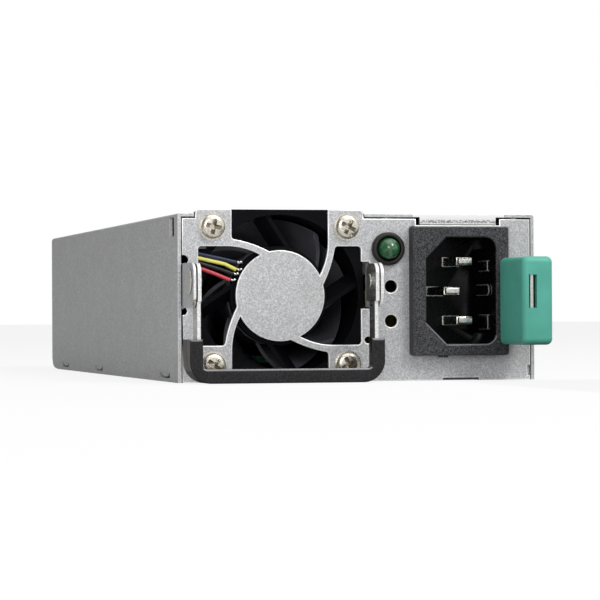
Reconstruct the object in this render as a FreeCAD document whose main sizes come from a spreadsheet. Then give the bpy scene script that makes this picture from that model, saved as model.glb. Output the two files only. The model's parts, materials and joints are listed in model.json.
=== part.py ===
"""Hot swap server power supply module, as an assembly of separate pieces.

Millimetres.  The origin is the centre of the underside of the case.  X runs to the right as
the front is looked at, Y runs from the front to the rear, and Z is up.  The front holds the
cooling fan, the folding handle, the mains inlet and the release latch.  The rear holds the
vents and the card edge that plugs into the server.
"""
import FreeCAD, Part
import math
import os
import re
import Sketcher

Vector = FreeCAD.Vector

# Driving sizes: alias, number, meaning.
CASE_SIZES = [
    ("case_width", 86.0, "outside width of the case"),
    ("case_height", 39.1, "outside height of the case"),
    ("case_length", 198.0, "front face to rear face"),
    ("layout_width", 86.0, "case width that the pieces of the front are sized for"),
    ("layout_height", 39.1, "case height that the pieces of the front are sized for"),
    ("sheet", 0.8, "sheet steel thickness"),
    ("seam", 0.15, "gap between two sheets that meet edge to face"),
    ("seat_gap", 0.02, "gap between a flange and the sheet that it lies on"),
    ("overcut", 1.0, "how far a cutting block passes the face that it cuts"),
    ("flange_reach", 8.0, "depth of the fixing flanges"),
    ("flange_gap", 1.0, "ends of the fixing flanges to what stands beside them"),
    ("rear_foot", 4.0, "depth of the rear panel's lower flange"),
    ("base_flange_height", 9.0, "height of the base's side flanges"),
    ("side_slot_length", 13.5, "length of the lanced slots low on the sides"),
    ("side_slot_height", 1.5, "height of the lanced slots low on the sides"),
    ("side_slot_rise", 0.9, "underside to the lanced slots"),
    ("side_slot_setback", 10.2, "front face to the first lanced slot"),
    ("side_window_setback", 4.4, "front face to the window high on the left side"),
    ("side_window_length", 6.0, "length of the window high on the left side"),
    ("side_window_height", 4.4, "height of the window high on the left side"),
    ("cover_screw", 3.0, "cover screw diameter"),
    ("cover_screw_head", 5.6, "cover screw head diameter"),
    ("cover_screw_inset", 4.0, "edge of the case to the cover screws"),
    ("cover_screw_length", 3.0, "cover screw length"),
    ("screw_play", 0.2, "clearance on the diameter of the screws' holes"),
    ("cross_width", 0.6, "width of the recess in the cover screws"),
    ("cross_length", 2.8, "length of the recess in the cover screws"),
    ("cross_depth", 0.5, "depth of the recess in the cover screws"),
    ("cover_top_corner", 1.5, "radius of the cover's upper rear corners"),
    ("cover_low_corner", 3.0, "radius of the cover's lower rear corners"),
    ("vent_diameter", 3.6, "rear vent hole diameter"),
    ("vent_pitch", 5.0, "rear vent hole spacing"),
    ("vent_margin", 4.5, "edge of the rear panel to the vent holes"),
    ("port_height", 6.0, "height of the opening round the card edge"),
    ("port_margin", 1.5, "gap each side of the card edge"),
]

FRONT_SIZES = [
    # tab and notches in the panel
    ("tab_width", 18.8, "width of the cover's front tab"),
    ("tab_offset", 0.3, "axis of the inlet to the middle of the tab"),
    ("tab_gap", 1.15, "body of the inlet to the tab"),
    ("tab_slit", 0.9, "slit each side of the cover's front tab"),
    ("notch_width", 8.8, "width of the notch in the panel's lower edge"),
    ("notch_depth", 0.6, "depth of the notch in the panel's lower edge"),
    ("notch_offset", 3.5, "axis of the inlet to the left end of the notch"),
    ("notch_reach", 2.5, "how far the notch goes back in the floor's edge"),
    ("relief_rise", 1.0, "underside of the case to the relief in the panel's right edge"),
    ("relief_height", 2.5, "height of the relief in the panel's right edge"),
    # fan
    ("fan_size", 40.0, "fan frame width and height"),
    ("fan_depth", 28.0, "fan frame depth"),
    ("fan_side_gap", 3.4, "cover wall to the fan frame"),
    ("fan_wall", 1.2, "thinnest wall of the fan frame round its duct"),
    ("fan_flange", 3.6, "thickness of the fan frame's square ends"),
    ("fan_waist", 39.2, "diameter of the fan frame between its square ends"),
    ("fan_corner", 1.8, "rounded corners of the fan frame"),
    ("fan_screw_inset", 4.0, "edge of the fan to its screws"),
    ("fan_hub", 23.0, "diameter of the motor plate"),
    ("fan_recess", 1.05, "front of the fan to its motor plate"),
    ("fan_tube", 15.0, "length of the bearing tube"),
    ("fan_plate", 2.0, "thickness of the motor plate"),
    ("fan_fit", 0.3, "gap between the fan frame and the sheets round it"),
    ("plate_skin", 1.0, "thickness of the motor plate in front of the shaft"),
    ("vane_thickness", 1.0, "thickness of the vanes"),
    ("vane_gap", 0.4, "vanes to the rotor"),
    ("vane_root", 0.6, "how far the vanes run into the motor plate and the duct"),
    ("bearing_tube", 8.4, "outside diameter of the bearing tube"),
    ("bearing_bore", 6.0, "bearing outside diameter"),
    ("bearing_width", 2.5, "bearing width"),
    ("shaft_diameter", 3.0, "fan shaft diameter"),
    ("shaft_gap", 0.2, "front end of the shaft to the motor plate"),
    ("turning_gap", 0.05, "radial clearance of a turning or sliding fit"),
    ("rotor_cup", 23.0, "rotor cup diameter"),
    ("rotor_wall", 1.1, "rotor cup wall"),
    ("rotor_setback", 5.0, "front of the fan to the rotor"),
    ("rotor_length", 21.0, "rotor length"),
    ("boss_length", 4.0, "length of the boss that holds the shaft"),
    ("magnet_wall", 1.3, "magnet ring wall"),
    ("magnet_setback", 1.0, "front of the rotor to the magnet ring"),
    ("magnet_length", 11.0, "magnet ring length"),
    ("stator_gap", 0.35, "air gap between the magnet and the stator"),
    ("stator_setback", 2.0, "front of the rotor to the stator"),
    ("stator_length", 8.0, "stator length"),
    ("stator_slot", 1.2, "width of the slots between the stator's poles"),
    ("coil_thickness", 0.9, "how far the coils stand out of the stator's ends"),
    ("coil_inset", 2.1, "stator diameter less the coils' diameter"),
    ("fan_board", 17.0, "diameter of the fan's circuit board"),
    ("fan_board_thickness", 0.8, "thickness of the fan's circuit board"),
    ("blade_tip_gap", 0.5, "blade tip to duct"),
    ("blade_thickness", 0.9, "blade thickness"),
    ("blade_setback", 3.1, "ends of the rotor to the blades"),
    ("wire_diameter", 0.88, "fan lead diameter over insulation"),
    ("wire_pitch", 0.94, "spacing of the fan leads where they leave the frame"),
    ("wire_bend", 1.2, "bend radius of the fan leads"),
    ("wire_gap", 0.1, "gap under the fan leads in the notch of the frame"),
    ("wire_notch", 3.2, "how far the notch for the leads reaches past the duct's edge"),
    ("lead_rise", 7.4, "fan axis up to the lowest lead where the leads leave the frame"),
    ("lead_lane", 1.4, "fan frame to the middle of the leads beside it"),
    ("lead_sweep", 4.0, "length over which the leads swing behind the fan"),
    ("plug_offset", 4.0, "lane of the leads to the middle of the fan plug"),
    ("plug_setback", 9.0, "edge of the main board to the fan plug"),
    ("plug_pitch", 2.0, "spacing of the fan plug's ways"),
    ("plug_wall", 1.2, "end of the fan plug to its first way"),
    ("plug_width", 4.5, "width of the fan plug"),
    ("plug_height", 6.0, "height of the fan plug"),
    ("plug_key", 0.6, "how far the fan plug's key stands out"),
    # guard cut in the front panel
    ("guard_rim", 0.6, "edge of the fan to the edge of the cut-out that the guard spans"),
    ("guard_disc", 21.1, "diameter of the guard's middle disc"),
    ("guard_pad", 8.5, "width of the guard's corner pads"),
    ("pad_corner", 1.0, "rounded upper corners of the guard's pads"),
    ("window_corner", 0.8, "rounded corners of the guard's openings"),
    ("spoke_inner_bow", 0.5, "bow of the spoke's inner edge"),
    ("spoke_outer_bow", 0.32, "bow of the spoke's outer edge"),
    ("spoke_root", 2.0, "how far the spokes run into the disc"),
    ("spoke_inner_rise", 1.0, "inner corner of the pad to where the spoke's inner edge meets it"),
    ("spoke_outer_run", 1.55, "inner corner of the pad to where the spoke's outer edge meets it"),
    ("spoke_lap", 0.4, "how far the spoke's end runs into the pad"),
    ("screw_hole", 3.4, "clearance hole for the fan screws"),
    ("screw_shank", 2.9, "fan screw thread diameter"),
    ("screw_head", 5.7, "fan screw head diameter"),
    ("screw_head_height", 1.7, "fan screw head height"),
    ("screw_length", 8.0, "fan screw length under the head"),
    ("recess_width", 0.9, "width of the cross recess in the fan screws"),
    ("recess_length", 3.4, "length of the cross recess in the fan screws"),
    ("recess_floor", 0.6, "panel face to the floor of the cross recess"),
    # handle
    ("ear_margin", 1.4, "fan frame to the outside of the right ear"),
    ("ear_reach", 13.0, "how far the ears stand out of the panel"),
    ("ear_bottom", 17.3, "underside of the case to the bottom of the ears"),
    ("ear_height", 10.2, "height of the ears"),
    ("ear_corner", 3.0, "rounded front corners of the ears"),
    ("fold_relief", 1.7, "diameter of the relief holes at the ends of the ears' folds"),
    ("fold_gap", 0.4, "gap round the right ear in the panel that it is folded out of"),
    ("pad_relief", 1.7, "diameter of the relief hole above the lower right pad"),
    ("pad_relief_rise", 9.6, "underside of the case to the relief hole above the pad"),
    ("pivot_reach", 8.7, "panel face to the handle's pivot"),
    ("pivot_height", 23.2, "underside of the case to the handle's pivot"),
    ("arm_thickness", 0.9, "handle arm thickness"),
    ("arm_gap", 0.3, "gap between the arm and what holds it"),
    ("arm_head", 8.5, "width of the arm round the pivot"),
    ("arm_rise", 4.2, "handle's pivot to the top of the arms"),
    ("arm_corner", 2.5, "rounded upper corners of the arms"),
    ("leg_reach", 5.8, "front of the arm's head to the back of the arm below it"),
    ("strap_width", 3.9, "width of the strap inside the grip"),
    ("strap_inset", 3.6, "back of the grip to the back of the strap"),
    ("strap_drop", 1.5, "top of the grip to where the strap narrows"),
    ("shoulder_rise", 1.3, "bottom of the ears to the bottom of the arms' shoulders"),
    ("rivet_shank", 2.5, "handle rivet diameter"),
    ("rivet_head", 6.0, "diameter of the handle rivets' heads outside the ears"),
    ("rivet_head_height", 0.3, "height of the handle rivets' heads outside the ears"),
    ("rivet_tail", 3.4, "diameter of the handle rivets' closed ends inside the arms"),
    ("rivet_tail_height", 0.3, "height of the handle rivets' closed ends inside the arms"),
    ("grip_left_overhang", 0.65, "outside of the left ear to the outside of the grip"),
    ("grip_right_overhang", 0.3, "outside of the right ear to the outside of the grip"),
    ("grip_leg", 3.05, "width of the grip's legs"),
    ("grip_bar", 3.25, "height of the grip's bar"),
    ("grip_depth", 8.1, "depth of the grip"),
    ("grip_step", 0.5, "width of the first step behind the grip's inner edge"),
    ("grip_step_depth", 2.6, "front of the grip to the first step"),
    ("grip_rebate", 1.6, "width of the second step behind the grip's inner edge"),
    ("grip_rebate_depth", 4.9, "front of the grip to the second step"),
    ("grip_gap", 4.4, "panel face to the grip"),
    ("grip_bottom", 0.05, "underside of the case to the bottom of the grip"),
    ("grip_height", 10.0, "height of the grip"),
    ("grip_outer_corner", 5.0, "outside corner radius of the grip"),
    ("grip_inner_corner", 1.0, "inside corner radius of the grip"),
    # status lamp and retainer holes, between the right ear and the inlet
    ("lamp_shift", -0.4, "middle of the gap to the lamp's axis"),
    ("lamp_size", 7.8, "diameter of the lamp holder's flange"),
    ("lamp_height", 30.9, "underside of the case to the lamp's axis"),
    ("lamp_flange_height", 1.5, "lamp holder flange thickness"),
    ("lamp_rim", 0.8, "how far the lamp holder's flange stands past its barrel"),
    ("lamp_wall", 0.5, "lamp holder's barrel wall"),
    ("lamp_length", 7.0, "lamp holder length behind the panel"),
    ("lamp_lip", 1.0, "how much longer the holder is than the lamp"),
    ("lamp_lead", 0.8, "lamp lead diameter"),
    ("lamp_lead_pitch", 2.54, "spacing of the lamp's leads"),
    ("lamp_lead_bend", 3.0, "bend radius of the lamp's leads"),
    ("lamp_lead_setback", 3.0, "edge of the main board to the lamp's leads"),
    ("retainer_hole", 3.0, "diameter of the two cord retainer holes"),
    ("retainer_shift", 0.4, "middle of the gap to the retainer holes"),
    ("retainer_height", 14.0, "underside of the case to the lower retainer hole"),
    ("retainer_pitch", 8.1, "spacing of the retainer holes"),
    # mains inlet
    ("inlet_inset", 19.1, "right side of the case to the inlet's axis"),
    ("bezel_corner", 0.8, "rounded corners of the inlet's bezel"),
    ("inlet_height", 21.05, "underside of the case to the inlet's axis"),
    ("inlet_width", 23.4, "width of the inlet's bezel"),
    ("inlet_tall", 30.4, "height of the inlet's bezel"),
    ("inlet_lip", 3.6, "thickness of the inlet's bezel"),
    ("inlet_rim", 0.8, "how far the bezel stands past the body behind the panel"),
    ("inlet_wall", 2.0, "rear wall of the inlet"),
    ("cavity_side", 3.2, "side of the bezel to the socket"),
    ("cavity_end", 2.7, "top and bottom of the bezel to the socket"),
    ("cavity_chamfer", 5.0, "chamfers on the earth side of the socket"),
    ("cavity_corner", 2.6, "rounded corners of the socket"),
    ("cavity_depth", 17.6, "depth of the socket"),
    ("pin_width", 4.0, "inlet pin width"),
    ("pin_thickness", 2.0, "inlet pin thickness"),
    ("pin_nose", 1.2, "length of the narrower tip of the pins"),
    ("pin_tip_inset", 0.35, "how much the tip is narrower on each side"),
    ("pin_spacing", 14.0, "spacing of the two power pins"),
    ("pin_offset", 2.0, "middle of the pins to each pin's axis"),
    ("pin_shift", 0.45, "axis of the inlet to the middle of its pins"),
    ("pin_setback", 1.0, "panel face to the power pins' tips"),
    ("earth_lead", 3.0, "how much further forward the earth pin's tip is"),
    ("pin_tail", 6.0, "length of the pins behind the inlet"),
    ("mains_wire", 2.4, "diameter of the leads behind the inlet"),
    ("mains_bend", 4.0, "bend radius of the leads behind the inlet"),
    # release latch
    ("latch_inset", 1.45, "right side of the case to the middle of the spring strip"),
    ("latch_strip", 0.7, "spring strip thickness"),
    ("latch_bottom", 13.0, "underside of the case to the spring strip"),
    ("latch_height", 11.5, "height of the spring strip"),
    ("latch_pivot", 60.0, "front face to the spring strip's rivets"),
    ("latch_tail", 3.0, "length of the strip behind its rivets"),
    ("latch_play", 0.05, "clearance round the latch rivets"),
    ("latch_rivet", 2.4, "latch rivet diameter"),
    ("latch_rivet_rim", 1.0, "how far a latch rivet's head stands past its shank"),
    ("latch_rivet_height", 0.8, "latch rivet head height"),
    ("latch_head_gap", 0.12, "gap between the strip and its rivet heads"),
    ("latch_slot_gap", 0.5, "gap above and below the strip in the panel"),
    ("jog_start", 4.5, "front face to where the strip bends inwards"),
    ("jog_end", 1.5, "front face to where the strip runs straight again"),
    ("jog_reach", 2.4, "how far the strip bends inwards"),
    ("cap_jog_start", 3.0, "back of the cap to the strip's second bend"),
    ("cap_jog_end", 8.0, "back of the cap to the end of the second bend"),
    ("strip_lap", 0.6, "how far the strip's end runs into the cap's face"),
    ("catch_setback", 8.0, "front face to the catch"),
    ("catch_length", 8.0, "length of the catch"),
    ("catch_flat", 1.5, "length of the catch's flat crest"),
    ("catch_reach", 1.6, "how far the catch stands out of the side"),
    ("catch_height", 8.0, "height of the catch"),
    ("catch_margin", 0.6, "gap round the catch in the side"),
    ("cap_inset", 10.0, "right side of the case to the left face of the cap"),
    ("cap_width", 7.3, "width of the cap"),
    ("cap_bottom", 8.4, "underside of the case to the cap"),
    ("cap_height", 20.3, "height of the cap"),
    ("cap_gap", 5.0, "panel face to the cap"),
    ("cap_depth", 17.0, "depth of the cap"),
    ("cap_wall", 1.5, "wall of the cap"),
    ("cap_corner", 1.4, "rounded edges of the cap"),
    ("cap_play", 0.2, "gap between the strip and what it passes through"),
    ("cap_slot_width", 1.9, "width of the slot in the cap's face"),
    ("cap_slot_tall", 7.6, "height of the slot in the cap's face"),
    ("cap_slot_rise", 2.15, "middle of the cap to the middle of its slot"),
    ("slot_inset", 0.5, "inner wall of the cap to the strip's end"),
]

BOARD_SIZES = [
    ("board_thickness", 1.6, "main board thickness"),
    ("board_rise", 4.0, "underside of the case to the main board"),
    ("board_setback", 31.5, "front face to the main board"),
    ("board_margin", 2.0, "cover wall to the main board"),
    ("board_rear_gap", 2.5, "rear face to the main board's shoulder"),
    ("tongue_width", 52.0, "width of the card edge"),
    ("tongue_reach", 11.0, "how far the card edge stands out of the rear"),
    ("tongue_offset", -8.0, "middle of the case to the middle of the card edge"),
    ("contact_pitch", 3.0, "spacing of the card edge's contacts"),
    ("contact_width", 2.2, "width of the card edge's contacts"),
    ("contact_length", 8.0, "length of the card edge's contacts"),
    ("contact_thickness", 0.1, "thickness of the card edge's contacts"),
    ("contact_margin", 1.0, "edges of the card edge to its contacts"),
    ("standoff_diameter", 6.0, "board standoff diameter"),
    ("standoff_inset", 5.0, "board edge to the standoffs"),
    ("standoff_shift", 18.0, "middle of the board to the middle standoffs"),
    ("board_screw", 2.8, "board screw diameter"),
    ("board_screw_head", 1.6, "board screw head height"),
    ("film_thickness", 0.4, "insulating film thickness"),
    ("film_margin", 1.0, "sides of the main board to the insulating film"),
    ("film_rear_gap", 8.0, "shoulder of the main board to the insulating film"),
    ("headroom", 2.0, "top of the tallest parts to the cover"),
    ("layout_board_width", 80.4, "board width that the parts on it are placed for"),
    ("layout_board_length", 164.0, "board length that the parts on it are placed for"),
    ("layout_board_room", 30.7, "room above the board that the parts on it are sized for"),
    ("capacitor_gap", 0.6, "gap between the bulk capacitors"),
    ("choke_gap", 1.0, "height of a choke less its winding's diameter"),
    ("fuse_clip", 3.0, "length of the fuse's clips"),
    ("fin_plate", 2.0, "thickness of the heatsinks' plates"),
    ("fin_thickness", 1.2, "thickness of the heatsinks' fins"),
    ("winding_reach", 2.5, "how far the transformer's winding stands out of its core"),
    ("chip_height", 1.4, "thickness of the chips on the control card"),
]

# Angles in degrees, and shares of a larger size.
SHAPE_NUMBERS = [
    ("blade_root_angle", 50.0, "blade pitch at the cup"),
    ("blade_tip_angle", 34.0, "blade pitch at the tip"),
    ("blade_lean_angle", 50.0, "how far round a blade's tip lies from its root"),
    ("vane_root_angle", -18.5, "where a vane leaves the motor plate"),
    ("vane_tip_angle", 7.0, "where a vane reaches the duct"),
    ("vane_lean_share", 0.7, "sideways lean of the vanes over their depth"),
    ("spoke_inner_angle", 26.2, "where the spoke's inner edge leaves the disc"),
    ("spoke_outer_angle", 13.7, "where the spoke's outer edge leaves the disc"),
    ("pole_share", 0.7, "stator diameter inside its slots, of the stator's"),
    ("key_share", 0.7, "height of the plug's key, of the plug's"),
    ("core_width_share", 0.6, "width of a choke's core, of the choke's"),
    ("core_outer_share", 0.86, "outside of a choke's core, of its winding's"),
    ("core_inner_share", 0.5, "inside of a choke's core, of its winding's"),
    ("turns_inner_share", 0.36, "inside of a choke's winding, of its outside"),
    ("turns_gap_share", 0.16, "gap between a choke's half windings, of its outside"),
    ("choke_base_share", 0.4, "middle of a choke to the top of its base, of its outside"),
    ("clip_width_share", 0.8, "width of the fuse's clips, of the fuse's"),
    ("clip_height_share", 0.4, "height of the fuse's clips, of the fuse's"),
    ("window_width_share", 0.66, "width of the transformer's window, of its core's"),
    ("window_height_share", 0.6, "height of the transformer's window, of its core's"),
    ("leg_width_share", 0.28, "width of the transformer's middle leg, of its core's"),
    ("leg_height_share", 0.7, "height of the transformer's middle leg, of its core's"),
    ("winding_width_share", 0.64, "width of the transformer's winding, of its core's"),
    ("winding_height_share", 0.58, "height of the transformer's winding, of its core's"),
    ("chip_step_share", 0.29, "spacing of the chips, of the control card's length"),
    ("chip_length_share", 0.13, "length of the chips, of the control card's"),
    ("chip_height_share", 0.3, "height of the chips, of the control card's"),
]

# Parts on the main board: middle across the case, middle along the board (from its front edge,
# or from its rear edge where negative), width, length and height above the board.  A part that
# leans on a heatsink takes the missing place from it.
BOARD_PARTS = {
    "x_capacitor": (18.0, 16.0, 24.0, 9.0, 16.0),
    "pfc_choke": (-22.0, 20.0, 12.0, 26.0, 27.0),
    "input_choke": (21.0, 35.0, 9.0, 20.0, 21.0),
    "fuse": (36.0, 18.0, 5.2, 18.0, 6.5),
    "bulk_capacitor": (-23.0, 52.0, 24.0, 24.0, 28.0),
    "primary_heatsink": (36.0, 62.0, 6.0, 58.0, 26.0),
    "bridge_rectifier": (None, 42.0, 4.0, 14.0, 20.0),
    "primary_transistor": (None, 60.0, 4.0, 10.0, 18.0),
    "transformer": (-12.0, 84.0, 34.0, 30.0, 28.0),
    "standby_transformer": (18.0, 80.0, 14.0, 14.0, 14.0),
    "control_card": (-38.8, -70.0, 1.2, 60.0, 22.0),
    "secondary_heatsink": (-4.0, -50.0, 50.0, 12.0, 25.0),
    "rectifier_transistor": (-22.0, None, 10.0, 4.6, 16.0),
    "output_inductor": (26.0, -28.0, 9.0, 20.0, 21.0),
    "output_capacitor": (-30.0, -30.0, 8.5, 8.5, 17.0),
}

# What scales each of the numbers in the table above.
PART_SCALES = {
    "across": "board_wide",
    "along": "board_long",
    "width": "board_wide",
    "length": "board_long",
    "height": "board_tall",
}

SIZES = CASE_SIZES + FRONT_SIZES + BOARD_SIZES + SHAPE_NUMBERS
SCALES = {alias: "front_scale" for alias, number, meaning in FRONT_SIZES}
for part, numbers in BOARD_PARTS.items():
    for (side_name, scale), number in zip(PART_SCALES.items(), numbers):
        if number is None:
            continue
        SIZES.append((f"{part}_{side_name}", number, f"{part.replace('_', ' ')}, {side_name}"))
        SCALES[f"{part}_{side_name}"] = scale

# Places and sizes worked out from the driving sizes.
PLACES = {
    "front_scale": "min(case_width / layout_width; case_height / layout_height)",
    "front": "-case_length / 2",
    "rear": "case_length / 2",
    "side": "case_width / 2",
    "inner_side": "side - sheet",
    "lid_under": "case_height - sheet",
    "panel_half": "inner_side - seam",
    "panel_top": "lid_under - seam",
    "panel_back": "front + sheet",
    "fan_left": "-inner_side + fan_side_gap",
    "fan_right": "fan_left + fan_size",
    "fan_x": "fan_left + fan_size / 2",
    "fan_z": "fan_size / 2",
    "fan_front": "panel_back",
    "fan_back": "fan_front + fan_depth",
    "fan_bore": "fan_size - 2 * fan_wall",
    "fan_pitch": "fan_size - 2 * fan_screw_inset",
    "guard_opening": "fan_size - 2 * guard_rim",
    "guard_pad_start": "fan_size / 2 - guard_pad",
    "plate_front": "fan_front + fan_recess",
    "plate_back": "plate_front + fan_plate",
    "tube_back": "plate_front + fan_tube",
    "rotor_front": "fan_front + rotor_setback",
    "rotor_back": "rotor_front + rotor_length",
    "rotor_bore": "rotor_cup - 2 * rotor_wall",
    "magnet_bore": "rotor_bore - 2 * magnet_wall",
    "stator_width": "magnet_bore - 2 * stator_gap",
    "stator_front": "rotor_front + stator_setback",
    "plug_x": "fan_left - lead_lane + plug_offset",
    "plug_front": "board_front + plug_setback",
    "ear_left": "-panel_half",
    "ear_right": "fan_right + ear_margin",
    "arm_left": "ear_left + sheet + arm_gap",
    "arm_right": "ear_right - sheet - arm_gap",
    "pivot_y": "front - pivot_reach",
    "arm_front": "pivot_y - arm_head / 2",
    "strap_back": "front - grip_gap - strap_inset",
    "strap_front": "strap_back - strap_width",
    "grip_back": "front - grip_gap",
    "grip_front": "grip_back - grip_depth",
    "strap_bottom": "grip_bottom + (grip_bar - arm_thickness) / 2",
    "leg_bottom": "grip_bottom + grip_height - strap_drop",
    "inlet_x": "side - inlet_inset",
    "inlet_left": "inlet_x - inlet_width / 2",
    "inlet_right": "inlet_x + inlet_width / 2",
    "inlet_face": "front - inlet_lip",
    "inlet_floor": "inlet_face + cavity_depth",
    "inlet_back": "inlet_floor + inlet_wall",
    "inlet_body_width": "inlet_width - 2 * inlet_rim",
    "inlet_body_tall": "inlet_tall - 2 * inlet_rim",
    "pin_end": "inlet_back + pin_tail",
    "cavity_left": "inlet_left + cavity_side",
    "cavity_right": "inlet_right - cavity_side",
    "cavity_bottom": "inlet_height - inlet_tall / 2 + cavity_end",
    "cavity_top": "inlet_height + inlet_tall / 2 - cavity_end",
    "gap_middle": "(ear_right + inlet_left) / 2",
    "lamp_x": "gap_middle + lamp_shift",
    "lamp_barrel": "lamp_size - 2 * lamp_rim",
    "lamp_lens": "lamp_barrel - 2 * lamp_wall - 2 * turning_gap",
    "retainer_x": "gap_middle + retainer_shift",
    "tab_left": "inlet_x + tab_offset - tab_width / 2",
    "tab_right": "tab_left + tab_width",
    "tab_bottom": "inlet_height + inlet_body_tall / 2 + tab_gap",
    "strip_x": "side - latch_inset",
    "strip_face": "strip_x + latch_strip / 2",
    "strip_top": "latch_bottom + latch_height",
    "latch_y": "front + latch_pivot",
    "catch_front": "front + catch_setback",
    "catch_back": "catch_front + catch_length",
    "catch_middle": "latch_bottom + latch_height / 2",
    "cap_left": "side - cap_inset",
    "cap_right": "cap_left + cap_width",
    "cap_back": "front - cap_gap",
    "cap_front": "cap_back - cap_depth",
    "cap_middle": "cap_bottom + cap_height / 2",
    "slot_x": "cap_left + cap_wall + latch_strip / 2 + slot_inset",
    "board_top": "board_rise + board_thickness",
    "board_front": "front + board_setback",
    "board_half": "inner_side - board_margin",
    "board_back": "rear - board_rear_gap",
    "board_wide": "2 * board_half / layout_board_width",
    "board_long": "(board_back - board_front) / layout_board_length",
    "board_tall": "(lid_under - headroom - board_top) / layout_board_room",
    "tongue_left": "tongue_offset - tongue_width / 2",
    "tongue_right": "tongue_offset + tongue_width / 2",
    "tongue_back": "rear + tongue_reach",
}

ALIASES = {alias for alias, number, meaning in SIZES}
WORD = re.compile(r"[A-Za-z_][A-Za-z_0-9]*")
TURNS = {
    "x": FreeCAD.Rotation(Vector(0, 1, 0), 90),
    "y": FreeCAD.Rotation(Vector(1, 0, 0), -90),
    "z": FreeCAD.Rotation(),
}
DOC = FreeCAD.newDocument("power_supply")
SHEET = DOC.addObject("Spreadsheet::Sheet", "Sizes")
PROBE = DOC.addObject("Part::Vertex", "Probe")
NODES = []
TOLERANCE = 0.01

# Blades on the rotor, and the spacing of parts in a row on the main board, of a part's own size.
BLADES = 8
BLADE_SPANS = 3
ROW_SHARE = 1.25

# Parts of the main board that lean on a heatsink's left side or on its front.
LEANS_ACROSS = {"bridge_rectifier": "primary_heatsink", "primary_transistor": "primary_heatsink"}
LEANS_ALONG = {"rectifier_transistor": "secondary_heatsink"}


# ---------------------------------------------------------------- sizes and formulas
def fill_sheet():
    """Write the driving sizes into the sheet, one row each."""
    for row, (alias, number, meaning) in enumerate(SIZES, start=1):
        SHEET.set(f"A{row}", alias)
        SHEET.set(f"B{row}", str(number))
        SHEET.set(f"C{row}", meaning)
        SHEET.setAlias(f"B{row}", alias)
    DOC.recompute()


def size(alias):
    """The number that the sheet holds for a driving size."""
    return float(SHEET.get(alias))


def expand(formula):
    """Turn a formula in plain names into an expression on the sheet's cells."""
    def swap(match):
        word = match.group(0)
        if word in PLACES:
            return "(" + expand(PLACES[word]) + ")"
        if word in SCALES:
            return f"(Sizes.{word} * {expand(SCALES[word])})"
        if word in ALIASES:
            return "Sizes." + word
        return word
    return WORD.sub(swap, str(formula))


def measure(formula):
    """The number that a formula in plain names gives."""
    PROBE.setExpression("X", expand(formula))
    PROBE.recompute()
    return float(PROBE.X)


def about(middle, width):
    """A span of the given width about its middle."""
    return f"({middle}) - ({width}) / 2", f"({middle}) + ({width}) / 2"


def from_start(start, length):
    """A span of the given length from its start."""
    return start, f"({start}) + ({length})"


def ordered(start, end, direction):
    """A span with its smaller end first."""
    return (start, end) if direction > 0 else (end, start)


# ---------------------------------------------------------------- solids
def box(x, y, z):
    """A block between three spans."""
    item = DOC.addObject("Part::Box", "Block")
    for prop, axis, (start, end) in (("Length", "x", x), ("Width", "y", y), ("Height", "z", z)):
        item.setExpression(prop, expand(f"({end}) - ({start})"))
        item.setExpression(f"Placement.Base.{axis}", expand(start))
    return item


def stand(item, axis, centre, start):
    """Stand a turned primitive along an axis, at its centre in the other two axes."""
    item.Placement = FreeCAD.Placement(Vector(), TURNS[axis])
    others = [name for name in "xyz" if name != axis]
    item.setExpression(f"Placement.Base.{axis}", expand(start))
    for name, formula in zip(others, centre):
        item.setExpression(f"Placement.Base.{name}", expand(formula))
    return item


def rod(axis, centre, span, diameter):
    """A round bar along an axis."""
    item = DOC.addObject("Part::Cylinder", "Rod")
    item.setExpression("Radius", expand(f"({diameter}) / 2"))
    item.setExpression("Height", expand(f"({span[1]}) - ({span[0]})"))
    return stand(item, axis, centre, span[0])


def cone(axis, centre, span, first_diameter, last_diameter):
    """A tapered round bar along an axis."""
    item = DOC.addObject("Part::Cone", "Taper")
    item.setExpression("Radius1", expand(f"({first_diameter}) / 2"))
    item.setExpression("Radius2", expand(f"({last_diameter}) / 2"))
    item.setExpression("Height", expand(f"({span[1]}) - ({span[0]})"))
    return stand(item, axis, centre, span[0])


def fuse(*items):
    """Several overlapping or touching solids as one."""
    if len(items) == 1:
        return items[0]
    item = DOC.addObject("Part::MultiFuse", "Union")
    item.Shapes = list(items)
    item.Refine = True
    return item


def cut(base, *tools):
    """A solid with others taken out of it."""
    item = DOC.addObject("Part::Cut", "Difference")
    item.Base = base
    item.Tool = fuse(*tools)
    item.Refine = True
    return item


def common(first, second):
    """What two solids share."""
    item = DOC.addObject("Part::Common", "Shared")
    item.Base = first
    item.Tool = second
    return item


def group(*items):
    """Separate solids kept together as one piece."""
    item = DOC.addObject("Part::Compound", "Set")
    item.Links = list(items)
    return item


def ring(axis, centre, span, outer, inner):
    """A tube along an axis."""
    longer = (f"({span[0]}) - overcut", f"({span[1]}) + overcut")
    return cut(rod(axis, centre, span, outer), rod(axis, centre, longer, inner))


def made_feature(shape, place=None):
    """A piece whose shape is worked out here, then placed."""
    item = DOC.addObject("Part::Feature", "Made")
    item.Shape = shape
    if place is not None:
        item.Placement = FreeCAD.Placement(place, FreeCAD.Rotation())
    return item


def runs_along(edge, axis):
    """Whether an edge is straight and parallel to an axis."""
    if edge.Curve.TypeId != "Part::GeomLine":
        return False
    return abs(getattr(edge.tangentAt(edge.FirstParameter), axis)) > 0.999


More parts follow.
